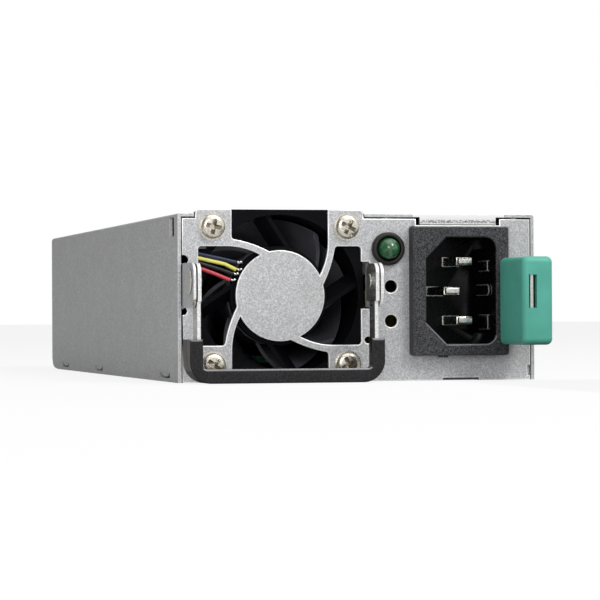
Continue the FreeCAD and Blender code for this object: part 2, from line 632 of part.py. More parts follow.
def tube_along(points, diameter, bend):
    """A round wire through the points, its corners turned with tangent arcs."""
    edges = []
    last = points[0]
    for before, corner, after in zip(points, points[1:], points[2:]):
        inward = (corner - before).normalize()
        outward = (after - corner).normalize()
        turn = inward.getAngle(outward)
        reach = bend * math.tan(turn / 2)
        start = corner - inward * reach
        end = corner + outward * reach
        to_centre = (outward - inward).normalize()
        middle = corner + to_centre * (bend / math.cos(turn / 2) - bend)
        edges.append(Part.LineSegment(last, start).toShape())
        edges.append(Part.Arc(start, middle, end).toShape())
        last = end
    edges.append(Part.LineSegment(last, points[-1]).toShape())
    path = Part.Wire(edges)
    section = Part.Wire(Part.makeCircle(diameter / 2, points[0], points[1] - points[0]))
    return path.makePipeShell([section], True, True)


def corner_waste(axis, through, first, second, radius):
    """The piece between a square corner and a rounded one; each way is (corner, direction)."""
    spans = []
    centre = []
    for corner, inward in (first, second):
        spans.append(ordered(f"({corner}) - ({inward}) * overcut",
                             f"({corner}) + ({inward}) * {radius}", inward))
        centre.append(f"({corner}) + ({inward}) * {radius}")
    spans.insert("xyz".index(axis), through)
    longer = (f"({through[0]}) - overcut", f"({through[1]}) + overcut")
    return cut(box(*spans), rod(axis, centre, longer, f"2 * {radius}"))


def past(span):
    """A span with the overcut added at both ends."""
    return f"({span[0]}) - overcut", f"({span[1]}) + overcut"


# ---------------------------------------------------------------- bodies with sketches
def draw(body, plane, middle, outlines):
    """A sketch of closed outlines on one of the body's own planes, moved along its normal."""
    drawing = body.newObject("Sketcher::SketchObject", "Outline")
    support = [item for item in body.Origin.OriginFeatures if item.Role == plane]
    drawing.AttachmentSupport = [(support[0], "")]
    drawing.MapMode = "FlatFace"
    sign = -1 if plane == "XZ_Plane" else 1
    drawing.setExpression("AttachmentOffset.Base.z", expand(f"{sign} * ({middle})"))
    for outline in outlines:
        draw_outline(drawing, outline)
    return drawing


def draw_outline(drawing, corners):
    """A closed outline of straight lines, each corner tied to the sheet."""
    count = len(corners)
    first = drawing.GeometryCount
    spots = [Vector(math.cos(math.tau * i / count), math.sin(math.tau * i / count), 0)
             for i in range(count)]
    for i in range(count):
        drawing.addGeometry(Part.LineSegment(spots[i], spots[(i + 1) % count]), False)
    for i, corner in enumerate(corners):
        line = first + i
        following = first + (i + 1) % count
        drawing.addConstraint(Sketcher.Constraint("Coincident", line, 2, following, 1))
        for kind, formula in zip(("DistanceX", "DistanceY"), corner):
            number = drawing.addConstraint(Sketcher.Constraint(kind, -1, 1, line, 1, 1.0))
            drawing.setExpression(f"Constraints[{number}]", expand(formula))


def pad(body, plane, span, *outlines):
    """Fill the outlines between the two ends of the span."""
    start, end = span
    item = body.newObject("PartDesign::Pad", "Pad")
    item.Profile = draw(body, plane, f"(({start}) + ({end})) / 2", outlines)
    item.SideType = "Symmetric"
    item.setExpression("Length", expand(f"({end}) - ({start})"))
    return item


def pocket(body, plane, span, *outlines):
    """Cut the outlines away between the two ends of the span."""
    start, end = span
    item = body.newObject("PartDesign::Pocket", "Pocket")
    item.Profile = draw(body, plane, f"(({start}) + ({end})) / 2", outlines)
    item.SideType = "Symmetric"
    item.setExpression("Length", expand(f"({end}) - ({start})"))
    return item


def fillet(body, radius, wanted):
    """Round the edges of the body so far that the test picks."""
    DOC.recompute()
    base = body.Tip
    names = [f"Edge{number}" for number, edge in enumerate(base.Shape.Edges, start=1)
             if wanted(edge)]
    item = body.newObject("PartDesign::Fillet", "Fillet")
    item.Base = (base, names)
    item.setExpression("Radius", expand(radius))
    return item


def new_body():
    """An empty body."""
    return DOC.addObject("PartDesign::Body", "Body")


def rectangle(across, up):
    """The corners of a rectangle between two spans."""
    return [(across[0], up[0]), (across[1], up[0]), (across[1], up[1]), (across[0], up[1])]


def keep(label, item):
    """Name a finished piece."""
    item.Label = label
    NODES.append(item)
    return item


# ---------------------------------------------------------------- case
def fan_notch(z):
    """The room that the fan frame needs in a sheet that it stands through."""
    across = ("fan_left - fan_fit", "fan_right + fan_fit")
    return box(across, ("front - overcut", "fan_back + fan_fit"), z)


def side_slots():
    """The lanced slots low on both sides, through the cover and the floor's flanges."""
    starts = ("front + side_slot_setback", "side_slot_length / 2",
              "rear - 2.4 * side_slot_length")
    return [box(("-side - overcut", "side + overcut"), from_start(start, "side_slot_length"),
                from_start("side_slot_rise", "side_slot_height")) for start in starts]


def base_tray():
    """Floor and low side flanges, open under the fan."""
    body = new_body()
    half = "inner_side - seam"
    rise = "base_flange_height"
    across = [(f"-({half})", "0"), (half, "0"), (half, rise), (f"{half} - sheet", rise),
              (f"{half} - sheet", "sheet"), (f"-({half}) + sheet", "sheet"),
              (f"-({half}) + sheet", rise), (f"-({half})", rise)]
    pad(body, "XZ_Plane", ("panel_back + seam", "rear - sheet - seam"), across)
    foot_notch = box(from_start("inlet_x - notch_offset", "notch_width"),
                     ("front", "panel_back + notch_reach"), ("-overcut", "1.5 * sheet"))
    keep("base_tray", cut(body, fan_notch(("-sheet", "2 * sheet")), foot_notch, *side_slots()))


def rear_corners():
    """The waste at the rounded rear corners of both sides of the cover."""
    waste = []
    for x in (past(("-side", "-inner_side")), past(("inner_side", "side"))):
        waste.append(corner_waste("x", x, ("rear", -1), ("case_height", -1), "cover_top_corner"))
        waste.append(corner_waste("x", x, ("rear", -1), ("0", 1), "cover_low_corner"))
    return waste


def top_cover():
    """Top and both sides in one sheet, with the front tab and the lanced slots."""
    body = new_body()
    across = [("-side", "0"), ("-inner_side", "0"), ("-inner_side", "lid_under"),
              ("inner_side", "lid_under"), ("inner_side", "0"), ("side", "0"),
              ("side", "case_height"), ("-side", "case_height")]
    pad(body, "XZ_Plane", ("front", "rear"), across)
    ridge = size("case_height") - size("sheet") / 2
    fillet(body, "sheet", lambda edge: runs_along(edge, "y") and edge.CenterOfMass.z > ridge)
    tab = box(("tab_left", "tab_right"), ("front", "panel_back"), ("tab_bottom", "case_height"))
    window = box(("-side - overcut", "-inner_side + sheet"),
                 from_start("front + side_window_setback", "side_window_length"),
                 ("lid_under - side_window_height", "lid_under"))
    catch = box(("inner_side - sheet", "side + overcut"),
                ("catch_front - catch_margin", "catch_back + catch_margin"),
                about("catch_middle", "catch_height + 2 * catch_margin"))
    screws = cover_screw_spots()
    holes = [rod("z", spot, ("lid_under - overcut", "case_height + overcut"),
                 "cover_screw + screw_play") for spot in screws]
    sinks = [cone("z", spot, ("lid_under", "case_height"), "cover_screw",
                  "cover_screw_head + screw_play") for spot in screws]
    open_top = fan_notch(("lid_under - sheet", "case_height + overcut"))
    rivet_holes = [rod("x", spot, ("inner_side - overcut", "side + overcut"), "latch_rivet")
                   for spot in latch_rivet_spots()]
    keep("top_cover", cut(fuse(body, tab), open_top, window, catch, *side_slots(), *holes, *sinks,
                          *rivet_holes, *rear_corners()))


def cover_screw_spots():
    """Where the cover is screwed to the flanges of the front and rear panels."""
    front_row = "front + cover_screw_inset"
    rear_row = "rear - cover_screw_inset"
    return [("retainer_x", front_row), ("side - cover_screw_inset", front_row),
            ("-case_width / 3", rear_row), ("case_width / 3", rear_row)]


def cross(axis, spot, depth, narrow, long):
    """The two bars of a cross recess, seen along an axis."""
    bars = []
    for first, second in ((narrow, long), (long, narrow)):
        spans = [about(spot[0], first), about(spot[1], second)]
        spans.insert("xyz".index(axis), depth)
        bars.append(box(*spans))
    return bars


def cover_screws():
    """Flat-head screws flush with the cover."""
    screws = []
    for spot in cover_screw_spots():
        head = cone("z", spot, ("lid_under", "case_height"), "cover_screw", "cover_screw_head")
        shank = rod("z", spot, ("case_height - cover_screw_length", "lid_under"), "cover_screw")
        recess = cross("z", spot, ("case_height - cross_depth", "case_height + overcut"),
                       "cross_width", "cross_length")
        screws.append(cut(fuse(head, shank), *recess))
    keep("cover_screws", group(*screws))


def flange(x, y, z, spots):
    """A fixing flange with its screw holes."""
    holes = [rod("z", spot, ("lid_under - flange_reach", "case_height"), "cover_screw")
             for spot in spots]
    return cut(box(x, y, z), *holes)


# ---------------------------------------------------------------- front panel
def polar(radius, degrees):
    """A point in the guard's plane at a distance and angle from the fan's axis."""
    angle = math.radians(degrees)
    return Vector(radius * math.cos(angle), 0, radius * math.sin(angle))


def bowed(first, last, bow):
    """A slightly bowed edge between two points."""
    along = (last - first).normalize()
    middle = (first + last) / 2 + Vector(along.z, 0, -along.x) * bow
    return Part.Arc(first, middle, last).toShape()


def guard_spoke():
    """One bowed spoke from the guard's disc to a corner pad, with a rounded root at the pad."""
    radius = measure("guard_disc / 2")
    root = measure("spoke_root")
    pad_corner = Vector(1, 0, 1) * measure("guard_pad_start")
    turn = measure("window_corner")
    inner_root = polar(radius, size("spoke_inner_angle"))
    outer_root = polar(radius, size("spoke_outer_angle"))
    inner_start = polar(radius - root, size("spoke_inner_angle"))
    outer_start = polar(radius - root, size("spoke_outer_angle"))
    inner_end = pad_corner + Vector(0, 0, measure("spoke_inner_rise"))
    neck = pad_corner + Vector(measure("spoke_outer_run"), 0, 0)
    outer_end = neck - Vector(0, 0, turn)
    turn_end = neck + Vector(turn, 0, 0)
    turn_middle = outer_end + Vector(turn, 0, 0) + Vector(-1, 0, 1).normalize() * turn
    lapped = turn_end + Vector(0, 0, measure("spoke_lap"))
    edges = [
        Part.LineSegment(inner_start, inner_root).toShape(),
        bowed(inner_root, inner_end, measure("spoke_inner_bow")),
        Part.LineSegment(inner_end, lapped).toShape(),
        Part.LineSegment(lapped, turn_end).toShape(),
        Part.Arc(turn_end, turn_middle, outer_end).toShape(),
        bowed(outer_root, outer_end, measure("spoke_outer_bow")),
        Part.LineSegment(outer_root, outer_start).toShape(),
        Part.LineSegment(outer_start, inner_start).toShape(),
    ]
    outline = Part.Wire(Part.__sortEdges__(edges))
    return Part.Face(outline).extrude(Vector(0, size("sheet"), 0))


def fan_axis_spot(place):
    """The point on the fan's axis at a place along the case."""
    return Vector(measure("fan_x"), measure(place), measure("fan_z"))


def guard_spokes():
    """The four spokes, a quarter turn apart."""
    spoke = guard_spoke()
    turned = []
    for quarter in range(4):
        copy = spoke.copy()
        copy.rotate(Vector(), Vector(0, 1, 0), 90 * quarter)
        turned.append(copy)
    return made_feature(Part.makeCompound(turned), fan_axis_spot("front"))


def fan_corners():
    """The four screw places round the fan, as pairs of formulas."""
    return [(f"fan_x + {a} * fan_pitch / 2", f"fan_z + {b} * fan_pitch / 2")
            for a in (-1, 1) for b in (-1, 1)]


def guard_pads():
    """The four corner pads that the fan is screwed to."""
    pads = []
    for a in (-1, 1):
        for b in (-1, 1):
            near = "guard_pad_start"
            far = "fan_size / 2"
            across = sorted_span("fan_x", a, near, far)
            up = sorted_span("fan_z", b, near, far)
            pad_block = box(across, ("front", "panel_back"), up)
            if b > 0:
                edge = f"fan_x + {a} * fan_size / 2"
                pad_block = cut(pad_block, corner_waste("y", past(("front", "panel_back")),
                                                        (edge, -a), ("fan_z + fan_size / 2", -1),
                                                        "pad_corner"))
            pads.append(pad_block)
    return pads


def window_corners():
    """Fillets in the outer corners of the guard's left and right openings."""
    return [corner_waste("y", ("front", "panel_back"), (f"fan_x + {a} * guard_opening / 2", -a),
                         (f"fan_z + {b} * guard_pad_start", -b), "window_corner")
            for a in (-1, 1) for b in (-1, 1)]


def sorted_span(middle, sign, near, far):
    """A span on one side of a middle, smaller end first."""
    if sign > 0:
        return f"{middle} + {near}", f"{middle} + {far}"
    return f"{middle} - {far}", f"{middle} - {near}"


def ear(x):
    """A folded ear with rounded front corners and the pivot hole."""
    tip = "front - ear_reach"
    top = "ear_bottom + ear_height"
    block = box(x, (tip, "panel_back"), ("ear_bottom", top))
    waste = [corner_waste("x", past(x), (tip, 1), end, "ear_corner")
             for end in ((top, -1), ("ear_bottom", 1))]
    return cut(block, *waste, rivet_hole(x, "rivet_shank"))


def fold_reliefs():
    """The cuts in the panel round the folds of both ears."""
    deep = past(("front", "panel_back"))
    ear_top = "ear_bottom + ear_height"
    holes = [rod("y", ("ear_left + sheet / 2", spot), deep, "fold_relief")
             for spot in (f"{ear_top} + fold_relief / 2", "ear_bottom - fold_relief / 2")]
    room = box(("fan_x + guard_opening / 2 - overcut", "ear_right"), deep,
               ("ear_bottom - fold_gap", f"{ear_top} + fold_gap"))
    return [*holes, room, rod("y", ("ear_right - sheet / 2", "pad_relief_rise"), deep,
                              "pad_relief")]


def front_panel():
    """Front sheet with the fan guard, the ears, the openings and the fixing flanges."""
    plate = box(("-panel_half", "panel_half"), ("front", "panel_back"), ("0", "panel_top"))
    deep = past(("front", "panel_back"))
    opening = box(about("fan_x", "guard_opening"), deep, ("-overcut", "case_height + fan_size"))
    plate = cut(plate, opening, *fold_reliefs())
    disc = rod("y", ("fan_x", "fan_z"), ("front", "panel_back"), "guard_disc")
    ears = [ear(("ear_left", "ear_left + sheet")), ear(("ear_right - sheet", "ear_right"))]
    beside_fan = "fan_right + fan_fit + flange_gap"
    reach = ("front", "front + flange_reach")
    low_flange = box((beside_fan, "panel_half - sheet - flange_gap"), reach,
                     from_start("sheet + seat_gap", "sheet"))
    spots = cover_screw_spots()[:2]
    high = ("panel_top - sheet", "panel_top")
    high_left = flange((beside_fan, "tab_left - tab_slit - seam"), reach, high, spots[:1])
    high_right = flange(("tab_right + tab_slit + seam", "panel_half - flange_gap"), reach, high,
                        spots[1:])
    sheet_metal = fuse(plate, guard_spokes(), disc, *guard_pads(), *window_corners(), *ears,
                       low_flange, high_left, high_right)
    fan_holes = [rod("y", spot, deep, "screw_hole") for spot in fan_corners()]
    lamp = rod("y", ("lamp_x", "lamp_height"), deep, "lamp_barrel + 2 * turning_gap")
    cord_holes = [rod("y", ("retainer_x", f"retainer_height + {step} * retainer_pitch"), deep,
                      "retainer_hole") for step in (0, 1)]
    inlet = box(about("inlet_x", "inlet_body_width + 2 * turning_gap"), deep,
                about("inlet_height", "inlet_body_tall + 2 * turning_gap"))
    tab_notch = box(("tab_left - tab_slit", "tab_right + tab_slit"), deep,
                    ("tab_bottom - seam", "case_height + overcut"))
    foot_notch = box(from_start("inlet_x - notch_offset", "notch_width"), deep,
                     ("-overcut", "notch_depth"))
    latch_slot = box(("inlet_right + cap_play", "panel_half - sheet"), deep,
                     ("latch_bottom - latch_slot_gap", "strip_top + latch_slot_gap"))
    relief = box(("panel_half - sheet", "panel_half + overcut"), deep,
                 from_start("relief_rise", "relief_height"))
    keep("front_panel", cut(sheet_metal, *fan_holes, lamp, *cord_holes, inlet, tab_notch,
                            foot_notch, latch_slot, relief))


# ---------------------------------------------------------------- rear panel
def vent_holes():
    """The rows of vent holes above the card edge."""
    pitch = size("vent_pitch")
    half = measure("panel_half - vent_margin")
    top = measure("panel_top - vent_margin")
    bottom = measure("board_rise + port_height + vent_margin")
    columns = int(2 * half // pitch) + 1
    rows = int((top - bottom) // pitch) + 1
    sheet = size("sheet")
    holes = []
    for column in range(columns):
        for row in range(rows):
            x = (column - (columns - 1) / 2) * pitch
            z = (top + bottom) / 2 + (row - (rows - 1) / 2) * pitch
            holes.append(Part.makeCylinder(size("vent_diameter") / 2, 4 * sheet,
                                           Vector(x, -2 * sheet, z), Vector(0, 1, 0)))
    return made_feature(Part.makeCompound(holes), Vector(0, measure("rear"), 0))


def rear_panel():
    """Rear sheet with vents, the opening round the card edge and the fixing flanges."""
    plate = box(("-panel_half", "panel_half"), ("rear - sheet", "rear"), ("0", "panel_top"))
    across = ("-panel_half + 2 * flange_gap", "panel_half - 2 * flange_gap")
    low_flange = box(across, ("rear - rear_foot", "rear"), from_start("sheet + seat_gap", "sheet"))
    high_flange = flange(across, ("rear - flange_reach", "rear"),
                         ("panel_top - sheet", "panel_top"), cover_screw_spots()[2:])
    beside_tongue = ("tongue_left - port_margin", "tongue_right + port_margin")
    port = box(beside_tongue, ("rear - 2 * sheet", "rear + overcut"),
               about("board_top - board_thickness / 2", "port_height"))
    trimmed = cut(low_flange, box(beside_tongue, ("rear - rear_foot - overcut", "rear + overcut"),
                                  ("0", "board_top")))
    keep("rear_panel", cut(fuse(plate, trimmed, high_flange), port, vent_holes()))


# ---------------------------------------------------------------- fan
def vane(quarter):
    """One slanted strut from the motor plate to the duct."""
    depth = measure("rotor_setback - fan_recess - vane_gap")
    root = polar(measure("fan_hub / 2 - vane_root"), size("vane_root_angle"))
    end = polar(measure("fan_bore / 2 + vane_root"), size("vane_tip_angle"))
    aside = Vector(root.z - end.z, 0, end.x - root.x).normalize()
    thick = aside * measure("vane_thickness")
    sections = []
    for back in (0, depth):
        shift = Vector(0, back, 0) + aside * (back * size("vane_lean_share"))
        corners = [root + shift, end + shift, end + shift + thick, root + shift + thick]
        sections.append(Part.makePolygon(corners + corners[:1]))
    shape = Part.makeLoft(sections, True, True)
    shape.rotate(Vector(), Vector(0, 1, 0), 90 * quarter)
    return shape


def fan_frame():
    """Square frame with the duct, motor plate, vanes and bearing tube."""
    block = box(("fan_left", "fan_right"), ("fan_front", "fan_back"), ("0", "fan_size"))
    axis = ("fan_x", "fan_z")
    past = ("fan_front - overcut", "fan_back + overcut")
    between = ("fan_front + fan_flange", "fan_back - fan_flange")
    around = cut(box(about("fan_x", "fan_size + 2 * overcut"), between,
                     about("fan_z", "fan_size + 2 * overcut")),
                 rod("y", axis, (f"{between[0]} - overcut", f"{between[1]} + overcut"),
                     "fan_waist"))
    corners = [corner_waste("y", past, across, upright, "fan_corner")
               for across in (("fan_left", 1), ("fan_right", -1))
               for upright in (("0", 1), ("fan_size", -1))]
    shell = cut(block, rod("y", axis, past, "fan_bore"), around, *corners)
    plate = rod("y", axis, ("plate_front", "plate_back"), "fan_hub")
    tube = rod("y", axis, ("plate_front", "tube_back"), "bearing_tube")
    vanes = made_feature(Part.makeCompound([vane(quarter) for quarter in range(4)]),
                         fan_axis_spot("plate_front"))
    vanes = common(vanes, rod("y", axis, past, "fan_bore + vane_root"))
    bearing_bore = rod("y", axis, ("plate_front + plate_skin", "fan_back"), "bearing_bore")
    notch = box(("fan_left - overcut", "fan_x - fan_bore / 2 + wire_notch"),
                ("fan_front - overcut", "plate_front + wire_gap"),
                ("fan_z + lead_rise - 2 * wire_diameter - wire_gap",
                 "fan_z + lead_rise + 4 * wire_pitch"))
    screw_holes = [rod("y", spot, past, "screw_shank + 2 * turning_gap")
                   for spot in fan_corners()]
    keep("fan_frame", cut(fuse(shell, plate, tube, vanes), bearing_bore, notch, *screw_holes))


def fan_bearings():
    """Two bearings in the tube."""
    axis = ("fan_x", "fan_z")
    starts = ("plate_back", "tube_back - bearing_width")
    keep("fan_bearings", group(*[
        ring("y", axis, from_start(start, "bearing_width"), "bearing_bore",
             "shaft_diameter + 2 * turning_gap") for start in starts]))


def fan_shaft():
    """Shaft pressed into the rotor."""
    keep("fan_shaft", rod("y", ("fan_x", "fan_z"),
                          ("plate_front + plate_skin + shaft_gap", "rotor_back"),
                          "shaft_diameter"))


def blade(turn):
    """One blade: straight sections from the cup to the tip, each leaning further round."""
    root = measure("rotor_cup / 2 - rotor_wall / 2")
    tip = measure("fan_bore / 2")
    reach = measure("rotor_length / 2 - blade_setback")
    thick = measure("blade_thickness / 2")
    sections = []
    for number in range(BLADE_SPANS + 1):
        share = number / BLADE_SPANS
        radius = root + share * (tip - root)
        pitch = size("blade_root_angle") + share * measure("blade_tip_angle - blade_root_angle")
        sweep = reach / math.tan(math.radians(pitch)) * radius / tip
        corners = [Vector(radius, -reach, -sweep - thick), Vector(radius, -reach, -sweep + thick),
                   Vector(radius, reach, sweep + thick), Vector(radius, reach, sweep - thick)]
        section = Part.makePolygon(corners + corners[:1])
        section.rotate(Vector(), Vector(0, 1, 0), -share * size("blade_lean_angle"))
        sections.append(section)
    shape = Part.makeLoft(sections, True, False)
    shape.rotate(Vector(), Vector(0, 1, 0), turn)
    return shape


def fan_rotor():
    """Rotor cup with eight blades, trimmed to run clear of the duct."""
    axis = ("fan_x", "fan_z")
    whole = ("rotor_front", "rotor_back")
    turns = [360 * number / BLADES for number in range(BLADES)]
    blades = made_feature(Part.makeCompound([blade(turn) for turn in turns]),
                          fan_axis_spot("(rotor_front + rotor_back) / 2"))
    trimmed = common(rod("y", axis, whole, "fan_bore - 2 * blade_tip_gap"), blades)
    cup = rod("y", axis, whole, "rotor_cup")
    hollow = rod("y", axis, ("rotor_front - overcut", "rotor_back - rotor_wall"), "rotor_bore")
    boss = rod("y", axis, ("rotor_back - boss_length", "rotor_back"), "2 * shaft_diameter")
    bore = rod("y", axis, ("rotor_back - boss_length - overcut", "rotor_back + overcut"),
               "shaft_diameter")
    keep("fan_rotor", cut(fuse(cut(fuse(cup, trimmed), hollow), boss), bore))


def fan_motor():
    """Magnet ring in the rotor, and the stator and circuit board on the bearing tube."""
    axis = ("fan_x", "fan_z")
    keep("fan_magnet_ring", ring("y", axis,
                                 from_start("rotor_front + magnet_setback", "magnet_length"),
                                 "rotor_bore", "magnet_bore"))
    wound = from_start("stator_front", "stator_length")
    room = (f"{wound[0]} - overcut", f"{wound[1]} + overcut")
    slots = [box(about("fan_x", across), room, about("fan_z", up))
             for across, up in (("stator_slot", "rotor_cup"), ("rotor_cup", "stator_slot"))]
    slots = [cut(slot, rod("y", axis, room, "stator_width * pole_share")) for slot in slots]
    core = ring("y", axis, wound, "stator_width", "bearing_tube")
    keep("fan_stator_core", cut(core, *slots))
    keep("fan_coils", group(*[
        ring("y", axis, from_start(start, "coil_thickness"), "stator_width - coil_inset",
             "bearing_tube + 2 * turning_gap")
        for start in (f"{wound[0]} - coil_thickness", wound[1])]))
    keep("fan_circuit_board", ring("y", axis, from_start("plate_back", "fan_board_thickness"),
                                   "fan_board", "bearing_tube + 2 * turning_gap"))


def fan_screws():
    """Four pan-head screws with cross recesses."""
    screws = []
    for x, z in fan_corners():
        head = rod("y", (x, z), ("front - screw_head_height", "front"), "screw_head")
        shank = rod("y", (x, z), from_start("front", "screw_length"), "screw_shank")
        recess = cross("y", (x, z), ("front - screw_head_height - overcut",
                                     "front - recess_floor"), "recess_width", "recess_length")
        screws.append(cut(fuse(head, shank), *recess))
    keep("fan_screws", group(*screws))


# Each fan lead's end on the motor plate and one point on its way, from the fan's axis.
LEAD_ROUTES = {
    "red": ((-11.7, 3.7), (-14.6, 4.9)),
    "black": ((-11.0, 5.1), (-13.8, 6.1)),
    "yellow": ((-10.2, 6.1), (-12.9, 7.4)),
    "blue": ((-10.2, 7.8), (-13.6, 8.6)),
}


def fan_leads():
    """Four leads from the motor plate, out through the frame and back to the fan plug."""
    scale = measure("front_scale")
    axis = fan_axis_spot("plate_front - wire_diameter / 2")
    lane_x = measure("fan_left - lead_lane")
    plug_x = measure("plug_x")
    fan_back = measure("fan_back")
    plug_top = measure("board_top + plug_height")
    for number, (colour, spots) in enumerate(LEAD_ROUTES.items()):
        rise = measure(f"fan_z + lead_rise + {number} * wire_pitch")
        drop_y = measure(f"plug_front + plug_wall + {number} * plug_pitch")
        points = [axis + Vector(a, 0, b) * scale for a, b in spots] + [
            Vector(lane_x, axis.y, rise),
            Vector(lane_x, fan_back, rise),
            Vector(plug_x, fan_back + measure("lead_sweep"), rise),
            Vector(plug_x, drop_y, rise),
            Vector(plug_x, drop_y, plug_top),
        ]
        wire = tube_along(points, measure("wire_diameter"), measure("wire_bend"))
        keep(f"fan_lead_{colour}", made_feature(wire))


def fan_plug():
    """Four-way plug on the main board, behind the fan."""
    across = about("plug_x", "plug_width")
    body = box(across, from_start("plug_front", "2 * plug_wall + 3 * plug_pitch"),
               from_start("board_top", "plug_height"))
    key = box(from_start(across[1], "plug_key"), from_start("plug_front + plug_pitch", "plug_pitch"),
              from_start("board_top", "plug_height * key_share"))
    keep("fan_plug", fuse(body, key))


# ---------------------------------------------------------------- handle
def rivet_hole(x, diameter):
    """A hole for a handle rivet, right through one arm or ear."""
    return rod("x", ("pivot_y", "pivot_height"), (f"{x[0]} - overcut", f"{x[1]} + overcut"),
               diameter)


def handle_arm(x):
    """One arm: broad head with rounded corners, narrower leg, and the strap in the grip."""
    head_top = "pivot_height + arm_rise"
    head_back = "pivot_y + arm_head / 2"
    head = box(x, ("arm_front", head_back), ("ear_bottom + shoulder_rise", head_top))
    waste = [corner_waste("x", past(x), end, (head_top, -1), "arm_corner")
             for end in (("arm_front", 1), (head_back, -1))]
    leg = box(x, ("strap_front", "arm_front + leg_reach"), ("leg_bottom", "pivot_height"))
    strap = box(x, ("strap_front", "strap_back"), ("strap_bottom", "pivot_height"))
    return cut(fuse(head, leg, strap), *waste, rivet_hole(x, "rivet_shank + 2 * turning_gap"))


def handle_bail():
    """Steel strap: two arms joined by a bar that lies in the grip."""
    left = ("arm_left", "arm_left + arm_thickness")
    right = ("arm_right - arm_thickness", "arm_right")
    bar = box((left[0], right[1]), ("strap_front", "strap_back"),
              from_start("strap_bottom", "arm_thickness"))
    return keep("handle_bail", fuse(handle_arm(left), handle_arm(right), bar))


def handle_grip(bail):
    """Moulded grip round the legs and bar of the strap."""
    body = new_body()
    outer = ("ear_left - grip_left_overhang", "ear_right + grip_right_overhang")
    inner = (f"{outer[0]} + grip_leg", f"{outer[1]} - grip_leg")
    top = "grip_bottom + grip_height"
    bar_top = "grip_bottom + grip_bar"
    outline = [(outer[0], top), (outer[0], "grip_bottom"), (outer[1], "grip_bottom"),
               (outer[1], top), (inner[1], top), (inner[1], bar_top), (inner[0], bar_top),
               (inner[0], top)]
    pad(body, "XZ_Plane", ("grip_front", "grip_back"), outline)
    for corner, radius in (("grip_bottom", "grip_outer_corner"), (bar_top, "grip_inner_corner")):
        level = measure(corner)
        fillet(body, radius, lambda edge: runs_along(edge, "y")
               and abs(edge.CenterOfMass.z - level) < TOLERANCE)
    for width, depth in (("grip_step", "grip_step_depth"), ("grip_rebate", "grip_rebate_depth")):
        pocket(body, "XZ_Plane", (f"grip_front + {depth}", "grip_back + overcut"),
               rectangle((f"{inner[0]} - {width}", f"{inner[1]} + {width}"),
                         (f"{bar_top} - {width}", f"{top} + overcut")))
    keep("handle_grip", cut(body, bail))


def handle_rivets():
    """Rivets fixed in the ears, with the arms free to turn on them."""
    rivets = []
    for outward, ear_face, arm_face in ((-1, "ear_left", "arm_left + arm_thickness"),
                                        (1, "ear_right", "arm_right - arm_thickness")):
        spot = ("pivot_y", "pivot_height")
        inner = f"{arm_face} - ({outward}) * arm_gap"
        outer_head = ordered(ear_face, f"{ear_face} + ({outward}) * rivet_head_height", outward)
        inner_head = ordered(inner, f"{inner} - ({outward}) * rivet_tail_height", -outward)
        shank = ordered(ear_face, inner, -outward)
        rivets.append(fuse(rod("x", spot, outer_head, "rivet_head"),
                           rod("x", spot, shank, "rivet_shank"),
                           rod("x", spot, inner_head, "rivet_tail")))
    keep("handle_rivets", group(*rivets))


# ---------------------------------------------------------------- status lamp
def status_lamp():
    """Holder clipped in the panel, the lamp's domed lens and its two leads."""
    spot = ("lamp_x", "lamp_height")
    face = "front - lamp_flange_height"
    back = "front + lamp_length"
    rim = rod("y", spot, (face, "front"), "lamp_size")
    barrel = rod("y", spot, ("front", back), "lamp_barrel")
    bore = rod("y", spot, (f"{face} - overcut", f"{back} + overcut"),
               "lamp_lens + 2 * turning_gap")
    keep("lamp_holder", cut(fuse(rim, barrel), bore))
    body = rod("y", spot, (face, f"{back} - lamp_lip"), "lamp_lens")
    dome = DOC.addObject("Part::Sphere", "Dome")
    dome.setExpression("Radius", expand("lamp_lens / 2"))
    for axis, place in (("x", "lamp_x"), ("y", face), ("z", "lamp_height")):
        dome.setExpression(f"Placement.Base.{axis}", expand(place))
    keep("lamp_lens", fuse(body, dome))
    leads = []
    for step in (-1, 1):
        start = Vector(measure(f"lamp_x + {step} * lamp_lead_pitch / 2"),
                       measure(f"{back} - lamp_lip"), measure("lamp_height"))
        turn = Vector(start.x, measure("board_front + lamp_lead_setback"), start.z)
        end = Vector(start.x, turn.y, measure("board_top"))
        leads.append(made_feature(tube_along([start, turn, end], measure("lamp_lead"),
                                             measure("lamp_lead_bend"))))
    keep("lamp_leads", group(*leads))


# ---------------------------------------------------------------- mains inlet
def pin_spots():
    """Across and up places of the two power pins and the earth pin."""
    power_x = "inlet_x + pin_shift + pin_offset"
    return [(power_x, "inlet_height + pin_spacing / 2"),
            (power_x, "inlet_height - pin_spacing / 2"),
            ("inlet_x + pin_shift - pin_offset", "inlet_height")]


def pin(spot, tip):
    """A flat pin with a narrower tip, through the housing to its solder end."""
    shoulder = f"{tip} + pin_nose"
    bar = box(about(spot[0], "pin_width"), (shoulder, "pin_end"), about(spot[1], "pin_thickness"))
    nose = box(about(spot[0], "pin_width - 2 * pin_tip_inset"), (tip, shoulder),
               about(spot[1], "pin_thickness - 2 * pin_tip_inset"))
    return fuse(bar, nose)


